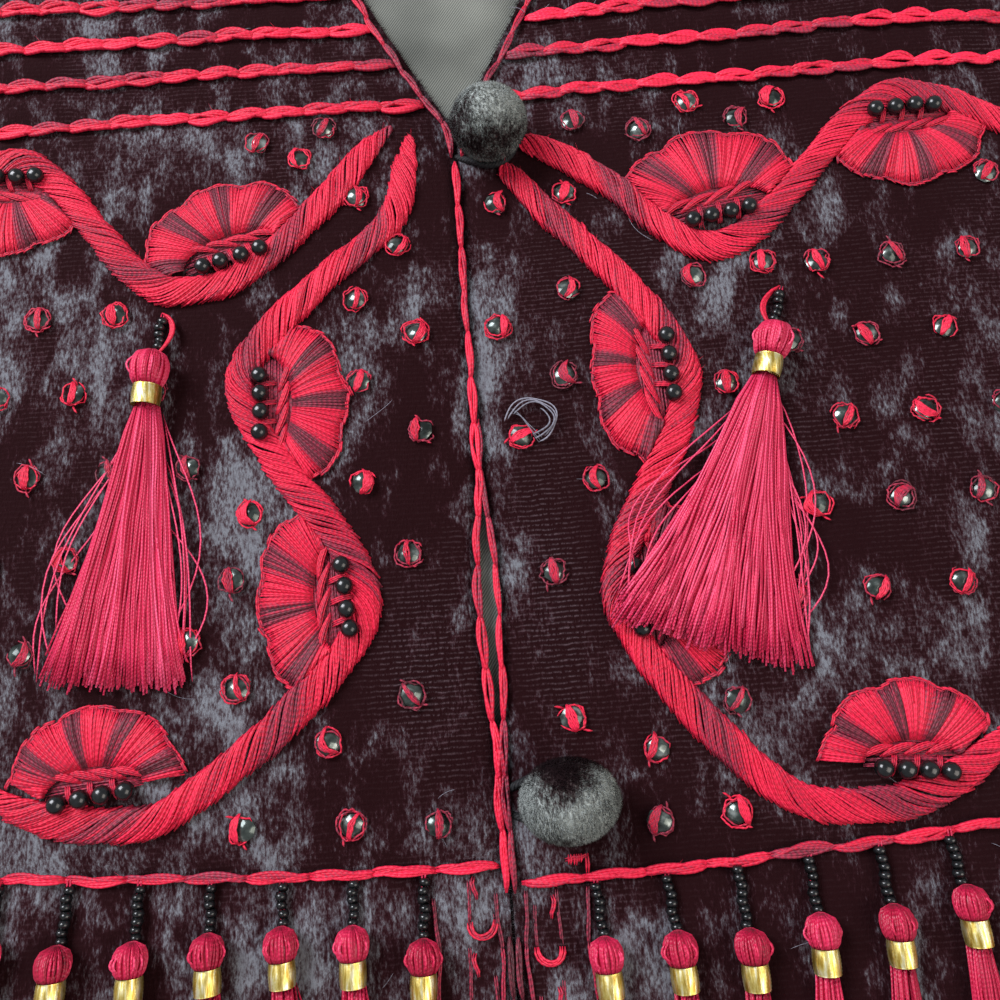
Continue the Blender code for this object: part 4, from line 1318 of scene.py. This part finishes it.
# %% [markdown]
# ## Ball buttons
# A ball button is a wooden mould under a gathered scrap of the same velvet. Round a ball the
# pile fans out and makes a soft, furry edge, so the ball gets real tufts as well as the
# velvet material. The cord loops are four fine strands laid in a rope.

# %% Ball buttons and loops


def ball_button(name, node, cover, tufts):
    """A slightly dented ball in the node's box, and the tufts that stand off it."""
    low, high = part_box(node)
    centre = (np.array(low) + np.array(high)) / 2
    half = (np.array(high) - np.array(low)) / 2
    bm = bmesh.new()
    bmesh.ops.create_uvsphere(bm, u_segments=56, v_segments=40, radius=1.0)
    for vertex in bm.verts:
        dent = 1 + 0.035 * noise.noise(vertex.co * 1.7 + Vector((centre[0] * 90, 0, 3)))
        dent += 0.012 * noise.noise(vertex.co * 6)
        vertex.co = Vector(centre) + Vector([c * h * 0.955 * dent for c, h in zip(vertex.co, half)])
        vertex.co.z = max(vertex.co.z, low.z)
    mesh = bpy.data.meshes.new(name)
    bm.to_mesh(mesh)
    bm.free()
    dress(name, mesh, cover, "velvet", node)
    pile = Threads()
    up = unit(rng.normal(0, 1, (tufts, 3)))
    up = up[up[:, 2] > -0.7]
    lean = np.array([0.5, -0.75, -0.2]) + rng.normal(0, 0.6, (len(up), 3))
    lean -= up * (lean * up).sum(1, keepdims=True)
    foot = centre + up * half * 0.94
    length = rng.uniform(0.7, 1.25, (len(up), 1)) * MM
    tip = foot + length * (0.8 * up + 0.6 * lean)
    pile.hairs(foot, tip, 0.11 * MM)
    pile.piece(name + "_pile", cover, "velvet")


ball_button("ball_top", "button_top", ball_velvet_top, 8500)
ball_button("ball_waist", "button_waist", ball_velvet_waist, 10500)


def rope(threads, line, strands, radius, twist, tone):
    """Fine strands laid round a line of world points."""
    line = np.asarray(line, float)
    steps = np.linalg.norm(np.diff(line, axis=0), axis=1)
    reach = np.concatenate([[0], np.cumsum(steps)])
    fine = np.linspace(0, reach[-1], int(reach[-1] / (0.35 * MM)))
    path = np.stack([np.interp(fine, reach, line[:, k]) for k in range(3)], axis=1)
    ahead = unit(np.gradient(path, axis=0))
    aside = unit(np.cross(ahead, [0, 0, 1.0]))
    above = np.cross(aside, ahead)
    for strand in range(strands):
        a = math.tau * strand / strands + fine / (twist * MM) * math.tau
        off = aside * np.cos(a)[:, None] + above * np.sin(a)[:, None]
        threads.thread(path + 0.5 * radius * MM * off, 0.56 * radius, tone, 5)


def button_loop(name, node, button):
    """A cord from the front's edge, round the foot of its button and back."""
    low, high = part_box(node)
    b_low, b_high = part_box(button)
    centre = ((b_low.x + b_high.x) / 2 / MM, ((b_low.y + b_high.y) / 2 - WAIST) / MM)
    reach = 0.66 * (high.x / MM - centre[0])
    angle = np.radians(np.linspace(125, -125, 34))
    x = np.concatenate([[-0.6], centre[0] + reach * np.cos(angle), [-0.6]])
    y = np.concatenate([[centre[1] + 1.6], centre[1] + reach * np.sin(angle), [centre[1] - 1.6]])
    middle = (low.z + high.z) / 2
    z = np.full(len(x), middle)
    z[0] = z[-1] = middle - 2.4 * MM
    threads = Threads()
    rope(threads, np.stack([x * MM, WAIST + y * MM, z], axis=1), 4, 0.8, 3.2, 0.4)
    threads.piece(name, cord_black, "cord", node)


button_loop("cord_loop_top", "loop_top", "button_top")
button_loop("cord_loop_waist", "loop_waist", "button_waist")

# %% [markdown]
# ## Looped bands under the waist
# Beside each front edge a narrow band runs from the waist to the hem: two thin lines whose
# thread sinks into the pile, and a string of open U loops between them. A loop's legs are
# half buried and have a dull tone, painted shade, and its foot stands out of the velvet with
# a bright tone, a painted highlight.

# %% Looped bands

BAND_INNER = 2.6
BAND_OUTER = 14.6
BAND_DROP = 15.5


def sunk_line(threads, side, points, lift, thickness, tone, strands=2):
    """A few threads side by side through plan points, at a height that may go under the pile."""
    points = np.asarray(points, float)
    ahead = unit(np.gradient(points, axis=0))
    for strand in range(strands):
        off = (strand - (strands - 1) / 2) * 1.5 * thickness
        wave = off * (1 + 0.4 * np.sin(np.arange(len(points)) * 0.9 + 2 * strand))
        x = points[:, 0] - wave * ahead[:, 1]
        y = points[:, 1] + wave * ahead[:, 0]
        line = lay(side, side * x, y, np.asarray(lift) + 0.1 * strand)
        threads.thread(line, thickness, tone + rng.normal(0, 0.06), 4)


for side, hand in HANDS.items():
    threads = Threads()
    for x in (BAND_INNER, BAND_OUTER):
        for number in range(9):
            y = -1.5 - 9.6 * number - np.linspace(0, 10.2, 12)
            swing = 0.35 * np.sin(y / 3.1 + x)
            lift = 0.15 + 0.35 * np.sin(np.pi * np.linspace(0, 1, 12)) * (1 if number % 2 else 0.4)
            tone = 0.34 + 0.16 * (number % 3 == 1)
            sunk_line(threads, side, np.stack([x + swing, y], axis=1), lift, 0.24, tone)
    middle = (BAND_INNER + BAND_OUTER) / 2
    for number in range(6):
        top = (-2.0 if side > 0 else 4.4) - BAND_DROP * number + 0.6 * math.sin(2 * number + side)
        turn = np.linspace(0, math.pi, 11)
        wide = 2.4 + 0.3 * math.sin(3 * number)
        shift = middle - 2.4 + 0.5 * math.sin(5 * number + 2 * side)
        # The foot's bright tone is a painted highlight, the legs' dull tone below is painted shade.
        shape = np.stack([shift - wide * np.cos(turn), top - 10.0 - 2.9 * np.sin(turn)], axis=1)
        sunk_line(threads, side, shape, 0.25 + 0.7 * np.sin(turn), 0.27, 0.74, 3)
        leg = np.linspace(0, 10.4, 9)
        for b, reach in ((-1, 0.5 + 0.3 * math.sin(number + side)), (1, 1.0)):
            shape = np.stack([shift + b * wide * (0.9 + 0.1 * leg / 10.4), top - leg], axis=1)
            keep = shape[(leg >= 10.4 * (1 - reach)) & (shape[:, 1] < waist_y(side, shift) - 1.2)]
            sunk_line(threads, side, keep, 0.1 - 0.3 * np.sin(leg[:len(keep)] * 0.5) ** 2, 0.22, 0.38, 2)
        low = min(top - 1, float(waist_y(side, shift)) - 1.5)
        stem = np.stack([np.full(5, shift + 1.2) + 0.4 * np.sin(leg[:5]), low - leg[:5] * 0.8], axis=1)
        sunk_line(threads, side, stem, 0.1 + 0.4 * np.sin(np.linspace(0, 3, 5)), 0.25, 0.6, 2)
    threads.piece("looped_band_" + hand, rayon, "thread")

# %% [markdown]
# ## Loose ends
# Hand work leaves traces: a few red stitches under the waist button, a curl of grey sewing
# thread that was never trimmed, thin lint, and the pile that stands out along cut edges.

# %% Loose ends

threads = Threads()
sunk_line(threads, 1, [(11, 3.6), (12.5, 3.9), (14, 4.0), (15.4, 4.4)], np.full(4, 0.6), 0.24, 0.7)
for x, drop in ((11.9, 1.5), (13.0, 1.7), (13.9, 1.2), (15.2, 3.4)):
    stitch = [(x, 4.6), (x + 0.1, 4.2 - 0.5 * drop), (x, 4.2 - drop)]
    sunk_line(threads, 1, stitch, np.full(3, 0.7), 0.26, 0.8)
for side, hand, x, y, heading, fan in CHEST_TASSELS:
    turn = math.radians(heading)
    ahead = np.array([side * math.cos(turn), math.sin(turn)])
    s = np.linspace(0, 1, 12)
    for strand in range(3):
        off = -(2.6 + 0.4 * strand) * np.sin(np.pi * s ** 0.8)
        px = x + ahead[0] * 10.5 * s + off
        py = y + 1.5 + ahead[1] * 11.5 * s
        lift = 1.0 + 1.6 * s + 0.25 * strand
        threads.thread(lay(side, side * px, py, lift), 0.34, 0.8, 5)
threads.piece("loose_red_stitches", rayon, "thread")

curl = Threads()
CURLS = ((5.3, 175, -75), (4.7, 168, -60), (4.2, 150, -88), (3.2, 60, -95))
for strand, (radius, first, last) in enumerate(CURLS):
    a = np.radians(np.linspace(first, last, 30))
    d = radius * (1 + 0.05 * np.sin(4 * a + strand))
    x = 11.8 + 0.2 * strand + d * np.cos(a) * 1.08
    y = 93.2 - 0.1 * strand + d * np.sin(a) * 0.92
    lift = 1.1 + 0.9 * np.sin(np.linspace(0, math.pi, 30)) + 0.2 * strand
    curl.thread(lay(1, x, y, lift), 0.19, 0.9 - 0.1 * strand, 4)
for strand in range(3):
    s = np.linspace(0, 1, 14)
    x = 7.2 + 6.6 * s + 0.5 * np.sin(5 * s + strand)
    y = 95.5 - 7.4 * s ** 1.6 + 0.45 * strand
    curl.thread(lay(1, x, y, 0.9 + 0.7 * np.sin(np.pi * s)), 0.12, 0.5, 4)
for number in range(70):
    side = -1 if number % 2 else 1
    x = rng.uniform(6, 200 if number > 30 else 55)
    y = rng.uniform(-60, 160 if number > 30 else 205)
    a = rng.uniform(0, math.tau)
    bend = rng.normal(0, 0.12)
    s = np.linspace(0, rng.uniform(3, 9), 10)
    heading = a + bend * s
    px = x + np.concatenate([[0], np.cumsum(np.cos(heading[:-1]) * np.diff(s))])
    py = y + np.concatenate([[0], np.cumsum(np.sin(heading[:-1]) * np.diff(s))])
    lift = 0.7 + 0.6 * np.sin(s / 2.5 + a)
    curl.thread(lay(side, side * px, py, lift), 0.055, rng.uniform(0.3, 1))
curl.piece("grey_thread_and_lint", grey_thread, "cord")

for side, hand in HANDS.items():
    pile = Threads()
    count = 5600
    y = rng.uniform(-94, 374, count)
    out = rng.uniform(-0.2, 1.4, count)
    x = inner_edge(side, y) + out - 0.15
    foot = lay(side, side * x, y, np.full(count, -0.5 - 0.9 * rng.uniform(0, 1, count) * (out < 0.4)))
    reach = rng.uniform(0.9, 1.9, (count, 1)) * MM
    lean = np.stack([
        -side * np.clip(1.1 - out, 0.1, 1) + rng.normal(0, 0.35, count), rng.normal(-0.3, 0.45, count),
        rng.uniform(0.35, 1.0, count),
    ], axis=1)
    pile.hairs(foot, foot + reach * unit(lean), 0.09 * MM)
    pile.piece("edge_pile_" + hand, velvet, "velvet")

# %% [markdown]
# ## Floor, light and camera
# The vest lies on a plain pale floor under two large soft lights. The camera looks down at
# the centre front from the hem side, 14 degrees off straight down, as close as the photo.

# %% Stage

AIM = (3.9, 76.1)
AIM_HEIGHT = 7 * MM
TILT = math.radians(14)
ROLL = math.radians(4.5)
DISTANCE = 189 * MM


def floor():
    """A plain floor just under the vest."""
    made, tree, shader, place = finish_of("pale floor", Roughness=0.8)
    grain = add(tree, "ShaderNodeTexNoise", {"Scale": 6.0, "Detail": 2.0}, {"Vector": place}).outputs["Fac"]
    tree.links.new(ramp(tree, grain, [(0.3, "#D9D8D4"), (0.7, "#E3E2DE")]), shader.inputs["Base Color"])
    mesh = bpy.data.meshes.new("floor")
    mesh.from_pydata([(-3, -3, 0), (3, -3, 0), (3, 3, 0), (-3, 3, 0)], [], [(0, 1, 2, 3)])
    mesh.materials.append(made)
    stage = bpy.data.objects.new("floor", mesh)
    stage.location.z = -0.2 * MM
    bpy.context.scene.collection.objects.link(stage)


def soft_light(name, place, aim, size, watts, tint):
    """A square area light that shines on a point."""
    lamp = bpy.data.lights.new(name, "AREA")
    lamp.size = size
    lamp.energy = watts
    lamp.color = linear(tint)[:3]
    made = bpy.data.objects.new(name, lamp)
    made.location = place
    made.rotation_euler = (Vector(aim) - Vector(place)).to_track_quat("-Z", "Y").to_euler()
    bpy.context.scene.collection.objects.link(made)


floor()
soft_light("window", (-0.75, 0.55, 0.95), (0, 0, 0), 0.7, 26, "#F4F7FF")
soft_light("fill", (0.9, -0.5, 1.1), (0, 0, 0), 1.0, 12, "#FFF6EC")
world = bpy.data.worlds.new("studio")
world.use_nodes = True
world.node_tree.nodes["Background"].inputs["Color"].default_value = linear("#DDE1E6")
world.node_tree.nodes["Background"].inputs["Strength"].default_value = 0.45
bpy.context.scene.world = world

look = Vector((0, math.sin(TILT), -math.cos(TILT)))
up = Vector((0, math.cos(TILT), math.sin(TILT)))
right = look.cross(up)
turned_right = right * math.cos(ROLL) - up * math.sin(ROLL)
turned_up = right * math.sin(ROLL) + up * math.cos(ROLL)
lens = bpy.data.cameras.new("camera")
lens.lens = 32
lens.sensor_width = 36
lens.clip_start = 0.005
camera = bpy.data.objects.new("camera", lens)
aim = Vector((AIM[0] * MM, WAIST + AIM[1] * MM, AIM_HEIGHT))
axes = Matrix((turned_right, turned_up, -look)).transposed()
camera.matrix_world = Matrix.Translation(aim - look * DISTANCE) @ axes.to_4x4()
bpy.context.scene.collection.objects.link(camera)
bpy.context.scene.camera = camera
bpy.context.scene.view_settings.view_transform = "Standard"

# %% Sheets and sizes


def one_side_area(piece):
    """Area in square metres of one side of a wall with two."""
    return sum(face.area for face in piece.data.polygons) / 2


for piece in (panels[1], panels[-1], velvet_back, lining):
    print(piece.name, "one side is", round(one_side_area(piece), 4), "m2")
